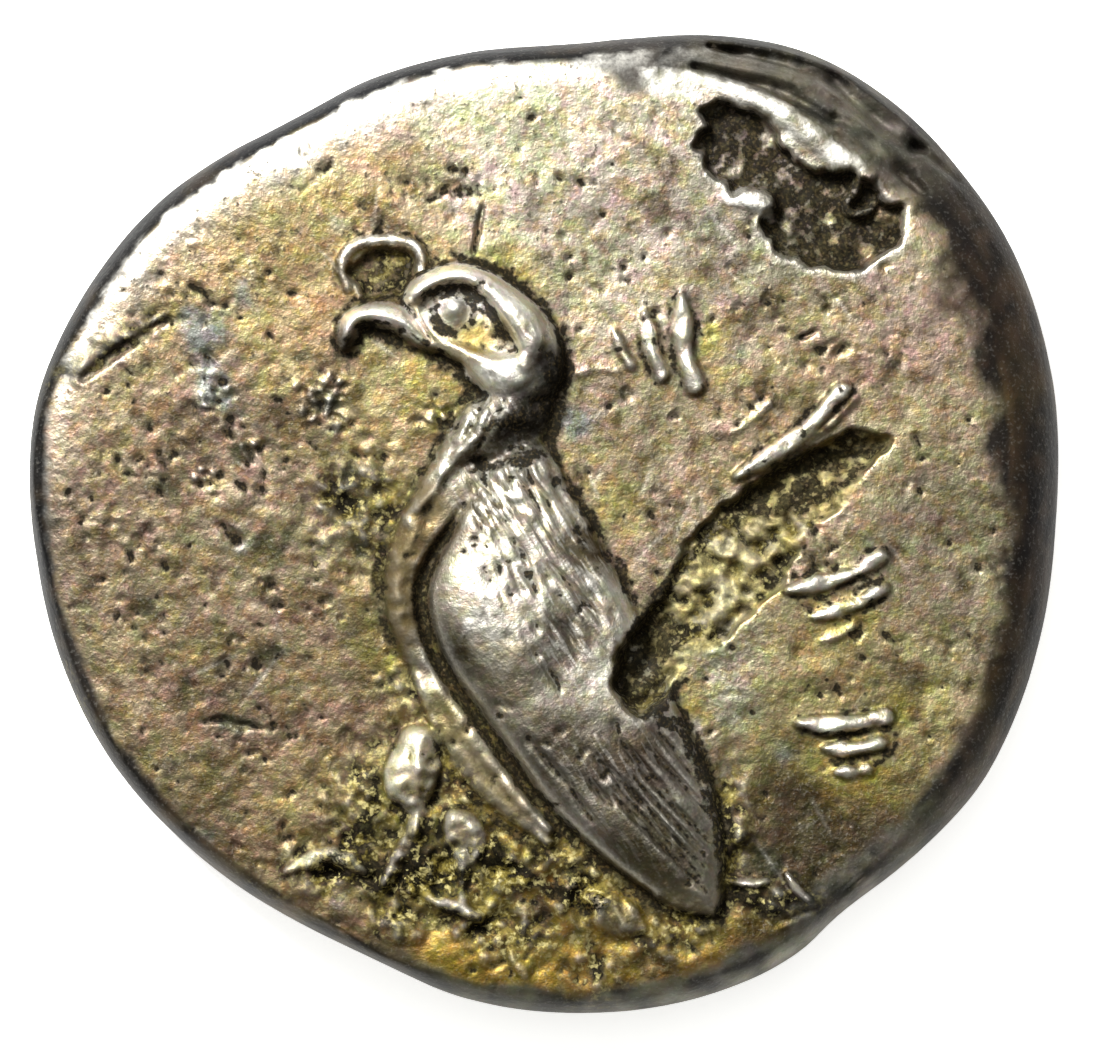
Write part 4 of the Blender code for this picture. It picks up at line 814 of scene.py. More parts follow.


# Patina, dirt, and painted highlights and shade: each row a place, a reach in mm and a colour

patinaAndPaintedLight = {
    "field": [
        (-5.0, 5.5, 3.0, "#807253"), (0.0, 8.0, 2.6, "#a19b8a"), (3.0, 6.0, 2.2, "#999183"),
        (-6.8, 0.5, 2.8, "#857763"), (-5.5, -3.5, 2.6, "#746652"), (-3.4, 2.4, 1.4, "#908464"),
        (5.2, 2.6, 2.4, "#92846b"), (7.4, -0.2, 1.8, "#7f7664"), (5.4, -3.4, 1.6, "#9c9169"),
        (5.4, -6.2, 1.3, "#453e2e"), (1.5, 1.5, 1.5, "#847767"), (3.2, -3.0, 1.2, "#8e8c79"),
        (-0.5, -7.4, 2.2, "#937938"), (-4.5, -7.2, 1.4, "#7f6d56"), (6.5, 5.0, 1.6, "#9c907c"),
    ],
    # the relief's own colours, with highlights painted on its lit tops and shade painted on its sides turned from the
    # light
    "relief": [
        (-3.2, 4.15, 0.5, "#f2efe6"), (-4.0, 3.6, 0.2, "#4a4238"), (-0.9, 4.5, 0.7, "#f4f0e6"),
        (-0.9, 3.1, 0.5, "#f8f5ea"), (-1.3, 3.7, 0.5, "#b3a25f"), (-0.85, 3.85, 0.35, "#665830"),
        (-1.79, 4.3, 0.2, "#fffdf6"), (0.15, 3.1, 0.45, "#1a1712"), (-0.4, 2.1, 0.7, "#2e2a22"),
        (-1.5, 1.8, 0.5, "#8f8b7c"), (-2.5, -0.3, 0.8, "#7a6a4a"), (-2.8, -1.8, 0.6, "#6e5f40"),
        (-1.9, -3.9, 0.5, "#a89c70"), (-0.8, -5.3, 0.5, "#a89c7c"), (-1.2, 0.2, 0.4, "#66604f"),
        (-0.3, 0.4, 0.5, "#b4ae9c"), (1.0, -0.5, 0.6, "#5c4e36"), (-1.1, -1.3, 0.7, "#d0cbbd"),
        (-1.7, -2.5, 0.5, "#45402f"), (-0.8, -3.2, 0.6, "#756e5e"), (-1.3, -2.4, 0.3, "#8f8a78"),
        (0.5, -2.2, 0.7, "#6f685d"), (0.4, -4.5, 0.8, "#4e473c"), (1.9, -4.8, 0.9, "#4a3f33"),
        (2.2, -6.4, 0.8, "#484230"), (-2.6, -4.8, 0.6, "#dcd6bf"), (-2.9, -6.7, 0.6, "#5a4c34"),
        (-1.5, -6.3, 0.4, "#a8a28e"), (-4.5, -6.7, 0.5, "#cfc9a4"), (2.0, -7.8, 0.8, "#6e6548"),
        (5.5, 0.5, 4.0, "#e9e5d6"),
    ],
    # the rounded edge: angle, width of the band in mm, colour
    "rim": [
        (0, 1.4, "#140c07"), (15, 1.5, "#2d2214"), (38, 1.7, "#1c160f"), (50, 1.6, "#47433c"), (65, 1.3, "#383529"),
        (75, 0.95, "#1e1811"), (90, 0.45, "#100f0f"), (120, 0.45, "#0a0a0e"), (160, 0.42, "#100d08"),
        (190, 0.5, "#090707"), (215, 0.45, "#251d11"), (250, 0.42, "#2f2918"), (290, 0.65, "#5e5d53"),
        (320, 0.95, "#37352d"), (340, 0.9, "#20180a"),
    ],
    # olive dirt: place, reach, squash, tilt, strength
    "olive": "#948b46",
    "oliveSpots": [
        (-0.7, 5.2, 0.9, 0.4, -30, 0.9), (0.7, 4.2, 0.5, 1.2, 0, 0.4), (-2.3, 2.1, 0.5, 1.2, 20, 0.7),
        (-3.2, 0.6, 0.7, 1.6, 0, 0.9), (-3.4, -1.5, 0.4, 2.0, 0, 0.5), (-2.9, -3.0, 0.5, 1.4, 30, 0.9),
        (2.5, 4.8, 0.6, 0.5, 10, 0.8), (2.4, 3.1, 0.8, 0.6, 0, 0.8), (3.3, 3.9, 0.4, 1.4, 0, 0.6),
        (6.4, -1.9, 0.9, 0.7, 0, 0.9), (6.3, -4.8, 0.9, 0.7, 0, 1.0), (7.1, -3.9, 0.45, 1.4, 0, 0.9),
        (2.9, -3.6, 0.6, 1.5, 20, 0.6), (3.9, -5.6, 0.4, 2.4, 10, 0.7), (-3.0, -6.0, 1.4, 0.9, 0, 1.0),
        (-1.0, -7.2, 1.9, 0.6, -15, 1.0), (-4.6, -5.9, 0.8, 0.7, 0, 0.7), (-2.0, -8.0, 1.4, 0.4, -10, 0.7),
        (3.0, -8.0, 1.0, 0.5, 20, 0.6), (1.6, 0.3, 0.5, 1.8, 25, 0.5), (-2.6, 3.0, 0.8, 0.5, -30, 0.4),
    ],
    # black grime along the relief, with painted shadow on its sides turned from the light: x, y, half width, strength
    "grimeAndShadow": [
        [(-2.8, 4.78, 0.04, 0.8), (-2.35, 5.06, 0.05), (-1.9, 5.2, 0.06), (-1.4, 5.17, 0.06), (-0.85, 4.93, 0.06),
         (-0.3, 4.55, 0.07), (0.12, 4.1, 0.08), (0.36, 3.6, 0.14), (0.42, 3.1, 0.2), (0.34, 2.5, 0.22),
         (0.2, 2.0, 0.2), (0.16, 1.5, 0.14), (0.35, 1.1, 0.1, 0.7)],
        [(0.1, 3.5, 0.16, 0.5), (0.14, 2.9, 0.26, 0.9), (0.0, 2.3, 0.3)],
        [(0.5, 0.8, 0.16, 0.5), (0.95, 0.1, 0.22, 0.55), (1.35, -0.7, 0.24, 0.55), (1.75, -1.5, 0.16, 0.6)],
        [(0.2, 0.6, 0.08, 0.5), (0.6, -0.1, 0.12, 0.6), (1.1, -1.0, 0.1, 0.5)],
        [(-4.1, 3.3, 0.08), (-3.7, 3.4, 0.08, 0.6), (-3.55, 3.8, 0.08), (-2.9, 3.58, 0.1), (-2.35, 3.33, 0.1),
         (-1.85, 3.05, 0.12), (-1.45, 2.7, 0.13), (-1.75, 2.35, 0.1), (-2.0, 1.9, 0.08), (-2.3, 1.4, 0.08, 0.8)],
        [(-2.85, 0.9, 0.08, 0.5), (-3.15, 0.1, 0.1, 0.7), (-3.35, -0.9, 0.1, 0.8), (-3.25, -1.9, 0.09, 0.7),
         (-2.9, -2.9, 0.07, 0.5)],
        [(-1.6, 0.55, 0.1, 0.6), (-1.9, -0.1, 0.13), (-2.3, -0.75, 0.15), (-2.48, -1.4, 0.16), (-2.38, -2.1, 0.17),
         (-2.05, -2.85, 0.17), (-1.5, -3.65, 0.18), (-0.85, -4.55, 0.2), (-0.3, -5.3, 0.2), (0.35, -6.0, 0.2),
         (1.0, -6.65, 0.18), (1.7, -7.25, 0.16), (2.5, -7.75, 0.14), (3.2, -7.95, 0.14)],
        [(-2.65, -3.5, 0.07, 0.6), (-2.3, -4.1, 0.07, 0.5), (-1.95, -4.8, 0.09, 0.7), (-1.4, -5.5, 0.1, 0.8),
         (-0.7, -6.1, 0.12), (0.0, -6.6, 0.16)],
        [(2.3, -3.9, 0.14), (2.75, -4.1, 0.2), (3.1, -4.7, 0.26), (3.42, -5.5, 0.28), (3.62, -6.4, 0.28),
         (3.68, -7.3, 0.22), (3.5, -7.9, 0.16)],
        [(-3.3, -4.6, 0.08, 0.5), (-3.35, -5.4, 0.2, 0.8), (-3.5, -6.0, 0.28), (-3.7, -6.4, 0.25), (-3.3, -6.9, 0.18)],
        [(-2.3, -5.9, 0.16), (-2.5, -6.5, 0.2), (-2.6, -7.1, 0.2), (-2.0, -7.2, 0.16)],
        [(-1.0, -6.2, 0.12), (-0.85, -6.8, 0.2), (-0.6, -7.0, 0.2), (0.0, -7.2, 0.2), (0.5, -7.5, 0.18)],
        [(-4.2, -6.95, 0.12), (-3.6, -7.15, 0.14), (-3.0, -7.4, 0.1, 0.6)],
        [(-1.95, -6.4, 0.1), (-1.8, -6.95, 0.12), (-1.4, -7.0, 0.12)],
        [(-4.0, 4.4, 0.06, 0.7), (-3.7, 4.47, 0.08), (-3.1, 4.52, 0.08), (-2.8, 4.6, 0.08, 0.8)],
        [(-3.95, 3.65, 0.08, 0.7), (-3.75, 3.95, 0.07, 0.7), (-3.2, 4.02, 0.06, 0.8), (-2.75, 3.85, 0.07, 0.9),
         (-2.4, 3.62, 0.08, 0.9), (-1.9, 3.4, 0.06, 0.6)],
        [(-2.4, 4.55, 0.07), (-2.0, 4.68, 0.08), (-1.5, 4.62, 0.1), (-1.1, 4.35, 0.1), (-0.9, 3.95, 0.08),
         (-0.75, 3.6, 0.06, 0.6)],
        [(-2.22, 4.25, 0.12), (-2.12, 3.95, 0.14), (-1.85, 3.82, 0.13), (-1.52, 3.9, 0.12), (-1.38, 4.2, 0.1),
         (-1.5, 4.5, 0.08), (-2.1, 4.5, 0.06)],
        [(-1.2, 1.9, 0.1, 0.5), (-0.75, 2.0, 0.25, 0.8), (-0.3, 2.2, 0.28, 0.9), (-0.1, 2.7, 0.2, 0.7)],
        [(-1.75, 0.95, 0.08, 0.7), (-1.3, 1.1, 0.14, 0.8), (-0.7, 1.3, 0.2, 0.8), (-0.1, 1.35, 0.22, 0.9)],
        [(-2.35, 0.3, 0.1, 0.6), (-2.55, -0.4, 0.08, 0.4)],
        [(3.0, 2.95, 0.05, 0.6), (3.2, 2.7, 0.06, 0.6)],
        [(1.3, 3.4, 0.06, 0.7), (1.9, 3.6, 0.1, 0.7), (2.5, 3.7, 0.14, 0.6)],
        [(5.3, -4.2, 0.06, 0.8), (6.2, -4.15, 0.08, 0.8), (6.9, -4.1, 0.1), (7.0, -4.5, 0.08), (6.6, -4.8, 0.08, 0.7)],
        [(5.4, -1.5, 0.06, 0.7), (6.2, -1.3, 0.08, 0.8), (6.8, -1.1, 0.06, 0.8)],
        [(4.0, 1.0, 0.05, 0.6), (5.0, 1.65, 0.06, 0.6), (5.9, 2.4, 0.05, 0.6)],
        # in the gouge
        [(1.55, -3.2, 0.2), (1.6, -2.7, 0.22), (2.1, -1.8, 0.24), (2.7, -0.9, 0.16), (3.3, -0.25, 0.13),
         (4.0, 0.35, 0.16), (4.6, 0.95, 0.2), (5.3, 1.15, 0.28), (6.0, 1.45, 0.16), (6.6, 1.55, 0.08)],
        [(1.9, -3.6, 0.25), (2.1, -2.9, 0.34), (2.6, -2.3, 0.24, 0.9), (3.2, -2.05, 0.14, 0.7), (3.9, -1.85, 0.1, 0.6)],
        [(1.6, -3.4, 0.12), (1.95, -3.85, 0.14), (2.4, -3.5, 0.16), (2.8, -3.1, 0.1, 0.8)],
        [(4.5, 0.2, 0.3, 0.7), (5.1, 0.75, 0.35, 0.9), (5.7, 1.15, 0.25)],
        # below the tail
        [(3.6, -7.2, 0.2), (4.2, -7.5, 0.28, 0.9), (4.8, -7.8, 0.2, 0.6)],
        [(0.9, -8.3, 0.16, 0.7), (1.1, -8.9, 0.16, 0.8), (0.8, -9.2, 0.1, 0.5)],
    ],
    # painted highlights, on metal rubbed bare and bright: x, y, half width, strength
    "bareAndHighlight": [
        [(-1.35, 3.12, 0.25, 0.9), (-0.9, 2.98, 0.42), (-0.45, 3.1, 0.3, 0.9)],
        [(-1.4, -1.6, 0.3, 0.3), (-1.2, -2.2, 0.35, 0.5), (-0.8, -2.8, 0.3, 0.3)],
        [(2.2, 8.85, 0.3, 0.6), (3.4, 8.72, 0.25), (4.4, 8.35, 0.26), (5.1, 7.85, 0.28), (5.75, 7.4, 0.22),
         (6.3, 7.1, 0.14, 0.8)],
        [(3.7, 6.5, 0.15, 0.7), (4.1, 6.52, 0.2), (4.45, 6.2, 0.14, 0.7)],
        [(-1.95, 4.3, 0.13, 0.9), (-1.8, 4.35, 0.2), (-1.65, 4.3, 0.12, 0.9)],
        [(-4.02, 5.3, 0.08, 0.6), (-3.7, 5.62, 0.09, 0.8), (-3.1, 5.68, 0.09, 0.8), (-2.6, 5.56, 0.08, 0.8),
         (-2.45, 5.1, 0.07, 0.7)],
    ],
    "spot": "#453a2c",  # small brown stains, scattered over the field
    # dark green stains: place, reach, squash, tilt, strength
    "stain": "#3a3a2a",
    "stains": [
        (-5.5, -0.4, 0.55, 0.6, 20, 1.0), (-7.6, 0.7, 0.4, 0.7, 0, 0.9), (-8.0, -1.7, 0.45, 0.7, -20, 0.9),
        (-7.2, -3.3, 0.4, 1.0, 0, 0.8), (-3.9, 0.9, 0.4, 1.0, 0, 0.8), (-3.7, -0.5, 0.4, 0.5, 0, 1.0),
        (-6.3, -4.0, 0.7, 0.3, 0, 0.9), (-7.7, -0.6, 0.35, 0.7, 0, 0.8), (-6.0, 1.4, 0.25, 1.0, 0, 0.9),
        (-5.0, 1.8, 0.25, 1.0, 0, 0.8), (-6.6, -2.0, 0.5, 0.5, 30, 0.7), (-4.4, 2.5, 0.35, 0.8, 0, 0.7),
        (-5.4, -2.6, 0.4, 0.8, 0, 0.6), (-8.7, 3.5, 0.6, 0.3, 35, 0.9), (-4.8, 3.4, 0.3, 0.8, 0, 0.6),
        (4.3, -6.8, 0.5, 0.8, 0, 0.8), (-2.2, 7.0, 0.4, 0.4, 20, 0.5), (-1.4, 6.4, 0.3, 1.5, 0, 0.6),
        (6.9, 3.2, 0.3, 0.8, 0, 0.6), (7.6, 1.0, 0.3, 1.0, 0, 0.6),
    ],
    # feathers too fine for the skin, drawn as streaks of painted highlight and painted shade: place, reach, squash,
    # tilt, strength
    "barbs": [
        (-0.6, 0.5, 0.9, 1.0, 0, 1.0), (0.0, -0.3, 1.0, 1.0, 0, 1.0), (0.7, -1.2, 0.9, 1.0, 0, 0.9),
        (-1.3, 2.1, 0.6, 1.3, 0, 0.9), (-0.9, -1.2, 0.8, 1.0, 0, 0.4), (-1.3, 0.9, 0.5, 1.0, 0, 0.8),
        (0.4, -2.4, 0.8, 1.0, 0, 0.5), (1.6, -4.9, 1.2, 1.4, 0, 0.2), (-0.6, 4.1, 0.4, 0.6, -45, 0.5),
        (-0.9, 3.1, 0.5, 0.8, 0, 0.5),
    ],
    # dull brown films on the relief: place, reach, squash, tilt, strength
    "film": "#54482a",
    "films": [(-2.85, -1.2, 0.4, 3.5, 0, 0.9), (-1.3, -4.9, 1.7, 0.25, -52, 0.5), (-2.3, 0.5, 0.3, 1.5, 20, 0.6)],
    # blue-grey toning: place, reach, squash, tilt, strength
    "blueSpots": [(-6.8, 3.7, 0.8, 1.0, 0, 0.9), (-6.6, 2.6, 0.5, 1.0, 0, 0.8), (0.6, 2.1, 0.4, 1.4, 0, 0.8),
                  (-6.1, 4.6, 0.4, 0.8, 30, 0.5), (-9.5, 3.2, 0.4, 0.8, 0, 0.5)],
    "blue": "#6b7270",
    "gouge": "#c2b67c",  # crumbled cream metal and earth in the gouge
    # the side and the underside, seen only in low views
    "underside": "#7d7159",
    "foot": "#4a4338",
    "plain": {"dirtAndShade": 0.2, "crust": 0.05, "worn": 0.1, "relief": 0.0, "dull": 1.0, "barbs": 0.0},
    "tint": (0.025, -0.008, 0.045),  # red, green and blue of the mauve and olive patches
    "shade": (0.5, 0.55, 0.62),  # what the painted shade on walls turned from the light takes from red, green and blue
    "bevel": {"angle": 122, "spread": 34, "inner": 0.5, "fade": 0.28},  # a painted highlight along the upper left edge, where the bevel faces the light
}


def hexToLinear(code):
    values = [int(code[i:i + 2], 16) / 255 for i in (1, 3, 5)]
    return [v / 12.92 if v <= 0.04045 else ((v + 0.055) / 1.055) ** 2.4 for v in values]


def toneSheet(rows):
    # every place takes the colours named nearest to it
    total = np.zeros(sheetX.shape)
    tone = np.zeros(sheetX.shape + (3,))
    for x, y, reach, code in rows:
        weight = 1 / (((sheetX - x) ** 2 + (sheetY - y) ** 2) / reach ** 2 + 0.15) ** 2
        total += weight
        tone += weight[..., None] * np.array(hexToLinear(code))
    return tone / total[..., None]


def mix(tone, other, share):
    if isinstance(other, str):
        other = np.array(hexToLinear(other))
    return tone * (1 - share[..., None]) + other * share[..., None]


def barMask(lines):
    total = np.zeros(sheetX.shape)
    for rows in lines:
        area, height = bar([(x, y, half, *share) for x, y, half, *share in rows], 1.0, 0.5)
        total[area] = np.maximum(total[area], height)
    return total


def paintSheets(level, raised, masks):
    # what the shader needs to know about each place of the face
    ragged = grain(0.14, 64)
    onRelief = step(blur(raised, 0.03) + 0.02 * ragged, 0.06, 0.16)
    warpX = sheetX + 0.25 * grain(0.9, 65) + 0.08 * grain(0.3, 66)
    warpY = sheetY + 0.25 * grain(0.9, 67) + 0.08 * grain(0.3, 68)
    fieldTone, reliefToneAndLight = toneSheet(patinaAndPaintedLight["field"]), toneSheet(patinaAndPaintedLight["relief"])
    darker = 0.32 * masks["corroded"] * step(grain(0.5, 76) + 0.6 * grain(0.2, 77), 0, 1.5)
    patchy = np.clip(1 + 0.10 * grain(1.4, 72) + 0.10 * grain(0.5, 73) - darker, 0.5, 1.5)
    fieldTone = np.dstack([patchy * sample(fieldTone[..., k], warpX, warpY) for k in range(3)])
    # mauve and olive patches, and small brown stains
    tint = np.clip(grain(0.9, 83) + 0.6 * grain(0.3, 84) + 0.5 * grain(0.14, 85), -2.4, 2.4)[..., None]
    tint = 1 + tint * np.array(patinaAndPaintedLight["tint"])
    fieldTone *= tint
    spots = step(grain(0.2, 86) + 0.8 * grain(1.0, 87) + 0.8 * masks["corroded"], 1.2, 2.1)
    fieldTone = mix(fieldTone, patinaAndPaintedLight["spot"], 0.75 * spots)
    olive = np.clip(0.7 * blur(step(raised, 0.05, 0.2), 0.6) + patches(patinaAndPaintedLight["oliveSpots"]), 0, 1)
    olive *= np.clip(0.6 + 0.35 * grain(0.7, 61) + 0.3 * grain(0.22, 62), 0, 1.3)
    tone = mix(fieldTone, patinaAndPaintedLight["olive"], np.clip(0.75 * olive, 0, 1))
    tone = mix(tone, patinaAndPaintedLight["blue"], 0.8 * step(patches(patinaAndPaintedLight["blueSpots"]) + 0.16 * grain(0.35, 63), 0.25, 0.7))
    stains = patches(patinaAndPaintedLight["stains"]) * (1 + 0.35 * grain(0.5, 79) + 0.3 * grain(0.2, 80))
    tone = mix(tone, patinaAndPaintedLight["stain"], 0.85 * step(stains, 0.3, 0.7))
    # the relief's colours, with its painted highlights and painted shade
    tone = mix(tone, reliefToneAndLight, onRelief)
    film = step(patches(patinaAndPaintedLight["films"]) * (1 + 0.3 * grain(0.2, 90)), 0.1, 0.5) * onRelief
    tone = mix(tone, patinaAndPaintedLight["film"], 0.75 * film)
    tone = mix(tone, patinaAndPaintedLight["gouge"], masks["gouge"] * np.clip(0.75 + 0.25 * grain(0.2, 93), 0, 1))
    # painted shade: walls that face away from the light at the upper left are darkened and browned
    rise = np.gradient(blur(level, 0.03), sheet["pitch"])
    shaded = step(rise[0] * 0.83 - rise[1] * 0.56, 0.3, 0.9)
    tone *= 1 - shaded[..., None] * np.array(patinaAndPaintedLight["shade"])
    # the rounded edge
    rows = [(a + turn, w, *hexToLinear(code)) for turn in (-360, 0, 360) for a, w, code in patinaAndPaintedLight["rim"]]
    a, w, red, green, blue = np.array(rows).T
    width = np.interp(rimAngle, a, w)
    band = np.dstack([np.interp(rimAngle, a, c) for c in (red, green, blue)])
    # the split edge is layered: dark, light and dark again
    layers = 0.5 * np.exp(-((rimAngle - 60) / 14) ** 2) * np.cos(2 * math.pi * (rimInset - 0.6) / 0.78)
    layers += 0.3 * edgeStreaks(69) + 0.35 * grain(0.4, 70) + 0.3 * grain(0.16, 78)
    band *= np.clip(1 + layers, 0.3, 2.5)[..., None]
    onRim = step(1 - rimInset / width + 0.1 * grain(0.6, 71) + 0.05 * ragged, -0.15, 0.3)
    band *= patchy[..., None] * tint
    tone = mix(tone, mix(band, patinaAndPaintedLight["spot"], 0.3 * spots), onRim)
    # dirt with painted shade, crust, and rubbed metal with painted highlights
    near = blur(level, 0.1) - level
    wide = blur(level, 0.4) - level
    blotch = 0.22 * grain(0.22, 74) + 0.2 * grain(0.12, 75)
    # painted shadow and black grime along the relief
    lines = barMask(patinaAndPaintedLight["grimeAndShadow"])
    grimeAndShadow = np.clip(1.5 * blur(lines, 0.02) + blotch - 0.15, 0, 1) * step(lines, 0, 0.4)
    # dark dirt in the hollows, with painted shade on walls turned from the light
    dirtAndShade = 0.6 * step(near, 0.004, 0.03) + 0.3 * step(wide, 0.04, 0.2) + 0.25 * shaded
    dirtAndShade += 0.85 * step(masks["crater"], 0.02, 0.4) + 0.18 * masks["corroded"] * (1 - onRelief)
    for name, share in (("pits", 0.45), ("gouge", 0.1), ("gougeDeep", 0.7), ("punch", 0.35), ("pores", 0.7)):
        dirtAndShade += share * masks[name]
    dirtAndShade = np.clip(dirtAndShade, 0, 1)
    dirtAndShade = np.clip(dirtAndShade * (1 + 1.2 * blotch), 0, 1)
    feathers = barMask([[(x, y, 0.06) for x, y in line] for line in eagle["tail"]])
    dirtAndShade = np.maximum(np.maximum(dirtAndShade, grimeAndShadow), 0.8 * feathers) * (1 - 0.6 * onRim)
    crust = masks["crust"] + 0.55 * masks["gouge"] * (1 - 0.9 * masks["gougeDeep"])
    crust = np.clip(crust + 0.04 * masks["crater"] + 0.4 * masks["punch"], 0, 1)
    # painted highlights and rubbed bright metal
    broken = 0.35 + 0.65 * step(grain(0.3, 92), -0.7, 0.5)
    bareAndHighlight = np.clip(barMask(patinaAndPaintedLight["bareAndHighlight"]) * (1.2 + 0.5 * ragged) * broken, 0, 1)
    crumbs = masks["gouge"] * (1 - masks["gougeDeep"]) * step(grain(0.16, 81) + 0.6 * grain(0.4, 82), 0.3, 1.2)
    bareAndHighlight = np.maximum(bareAndHighlight, 0.2 * crumbs)
    # rubbed high points and scratches, kept off the rim, the gouge's edge and the walls in painted shade
    worn = np.clip(0.3 * step(-near, 0.006, 0.05) + 0.2 * masks["scratched"], 0, 1)
    worn *= (1 - onRim) * (1 - shaded) * (1 - step(blur(masks["gouge"], 0.1), 0.02, 0.2))
    # a painted highlight along the upper left bevel
    line = patinaAndPaintedLight["bevel"]
    bevel = np.exp(-((rimAngle - line["angle"]) / line["spread"]) ** 2) * step(rimInset + 0.04 * ragged, 0.3, 0.44)
    bevel *= np.exp(-np.clip(rimInset - line["inner"], 0, None) / line["fade"])
    bareAndHighlight = np.maximum(bareAndHighlight, np.clip(bevel * (1 + 0.25 * ragged), 0, 0.95))
    worn = np.maximum(worn * (1 - grimeAndShadow) * (1 - 0.8 * film), bareAndHighlight)
    return {
        "tone": tone, "dirtAndShade": dirtAndShade * (1 - bareAndHighlight), "crust": crust * (1 - bareAndHighlight), "worn": worn, "relief": onRelief,
        "dull": np.maximum(onRim, np.maximum(film, 0.8 * masks["gouge"])),
        "barbs": np.clip(patches(patinaAndPaintedLight["barbs"]) * onRelief * (1 - 0.6 * shaded), 0, 1),
    }


def putOnMesh(mesh, sheets, points):
    # points: the vertices on the drawing sheet; the underside and lower edge get plain values
    x, y, _ = points.T
    normals = np.zeros(len(points) * 3, np.float32)
    mesh.vertices.foreach_get("normal", normals)
    facing = normals.reshape(-1, 3)[:, 2]
    up = step(facing, -0.25, 0.15)
    for name, value in patinaAndPaintedLight["plain"].items():
        data = sample(sheets[name], x, y) * up + value * (1 - up)
        mesh.attributes.new(name, "FLOAT", "POINT").data.foreach_set("value", data.astype(np.float32))
    flat = step(-facing, 0.5, 0.9)[:, None]
    under = np.array(hexToLinear(patinaAndPaintedLight["foot"])) * (1 - flat) + np.array(hexToLinear(patinaAndPaintedLight["underside"])) * flat
    tone = np.column_stack([sample(sheets["tone"][..., k], x, y) for k in range(3)])
    tone = tone * up[:, None] + under * (1 - up)[:, None]
    rgba = np.column_stack([tone, np.ones(len(tone))])
    mesh.attributes.new("tone", "FLOAT_COLOR", "POINT").data.foreach_set("color", rgba.astype(np.float32).ravel())


def makeCoin():
    x, y = sheetX, sheetY
    field = flan["field"] - flan["doming"] * ((x * 2 / sheet["drawnWidth"]) ** 2 + (y * 2 / sheet["drawnLength"]) ** 2)
    raised = np.maximum(eagleRelief(), strokeRelief())
    # the field rolls over towards the edge, most on the upper left
    roll = flan["roll"]
    fall = roll["least"] + roll["more"] * np.exp(-((rimAngle - roll["angle"]) / roll["spread"]) ** 2)
    field = field - fall * step(roll["width"] - rimInset, 0, roll["run"])
    level = field + blur(raised, flan["strikeSoftness"])
    print("relief sculpted")
    masks = damageFace(level, field)
    masks.update(wearField(level, raised))
    roughened, masks["pores"] = battered(raised)
    level += roughened
    level = blur(level, flan["wearSoftness"])
    print("damage and wear cut")
    points, faces = coinSkin(upperPoints(level, splitRelief()), lowerPoints(undersideRelief()))
    drawnSpan = points.max(0) - points.min(0)
    drawnLow = points.min(0)
    piece = bpy.data.objects.new("struckFlan", makeMesh(fitToFrame(points), faces))
    bpy.context.scene.collection.objects.link(piece)
    piece.data = thinned(piece)
    print("skin built:", sum(len(p.vertices) - 2 for p in piece.data.polygons), "triangles")
    low, high = (np.array(corner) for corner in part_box("coin"))
    places = np.zeros(len(piece.data.vertices) * 3, np.float32)
    piece.data.vertices.foreach_get("co", places)
    drawn = (places.reshape(-1, 3) - low) / (high - low) * drawnSpan + drawnLow
    putOnMesh(piece.data, paintSheets(level, raised, masks), drawn)
    print("patina painted")
    return piece


# Materials

def addNode(tree, kind, settings=None, inputs=None):
    # one node with its settings; each input, by name or number, takes an output to link, a hex colour or a value
    node = tree.nodes.new(kind)
    for name, value in (settings or {}).items():
        setattr(node, name, value)
    for name, value in (inputs or {}).items():
        if isinstance(value, bpy.types.NodeSocket):
            tree.links.new(value, node.inputs[name])
        else:
            node.inputs[name].default_value = (*hexToLinear(value), 1) if isinstance(value, str) else value
    return node.outputs


silverLook = {
    "mottle": 0.5,  # mm, blotches of tarnish
    "fleck": 0.16,  # mm, flecks within them
    "grain": 0.07,  # mm, the struck surface's grain; finer in the metal, drawn so that it shows
    "grainDepth": 0.006,  # mm
    "fleckDepth": 0.02,  # mm
    "hueSpread": 0.3,  # mm, patches of ochre, lilac and green toning
    "streak": 0.1,  # mm, across the streaks on the feathers; finer on the die, drawn so that they show
    "streakRun": 6,  # times as long as they are wide
    # black of dirt and of painted shade
    "dirtAndShade": "#100d07",
    "dirtLight": "#4a3e26",
    "crustDark": "#100e07",
    "crustMiddle": "#7f7236",
    "crustLight": "#bdb278",
    # bright metal, for rubbed places and painted highlights
    "bareAndHighlight": "#f6f3e8",
    "blotch": "#7d6f5c",
    "ochre": "#ffeca8",
    "lilac": "#ffd6ee",
    "green": "#d4f2c0",
    "roughness": 0.46,
    "dirtRoughness": 0.85,
    # how each pattern becomes a share: the pattern, the span of it that is used and the shares at the span's ends
    "shares": {
        "onRelief": ("relief", 0, 1, 1, 0.7), "onDull": ("dull", 0, 1, 1, 0.5), "blotch": ("mottle", 0.45, 0.68, 0, 0.5),
        "ochre": ("ochre", 0.47, 0.6, 0, 0.5), "lilac": ("lilac", 0.47, 0.6, 0, 0.5),
        "green": ("green", 0.47, 0.6, 0, 0.5),
        "glint": ("grain", 0.57, 0.8, 0, 0.1), "worn": ("grain", 0.23, 0.57, 0.5, 1),
        "lit": ("streak", 0.48, 0.36, 0, 0.7), "parted": ("streak", 0.52, 0.62, 0, 0.8),
        "speck": ("fleck", 0.59, 0.68, 0, 0.75), "crumbly": ("grain", 0.36, 0.57, 0.2, 1),
        "ragged": ("fleck", 0.35, 0.65, -0.3, 0.3), "dusty": ("grain", 0.5, 0.77, 0, 0.7),
        "pale": ("fleck", 0.54, 0.64, 0, 1), "crusted": ("grain", 0.3, 0.57, 0.35, 1),
    },
}


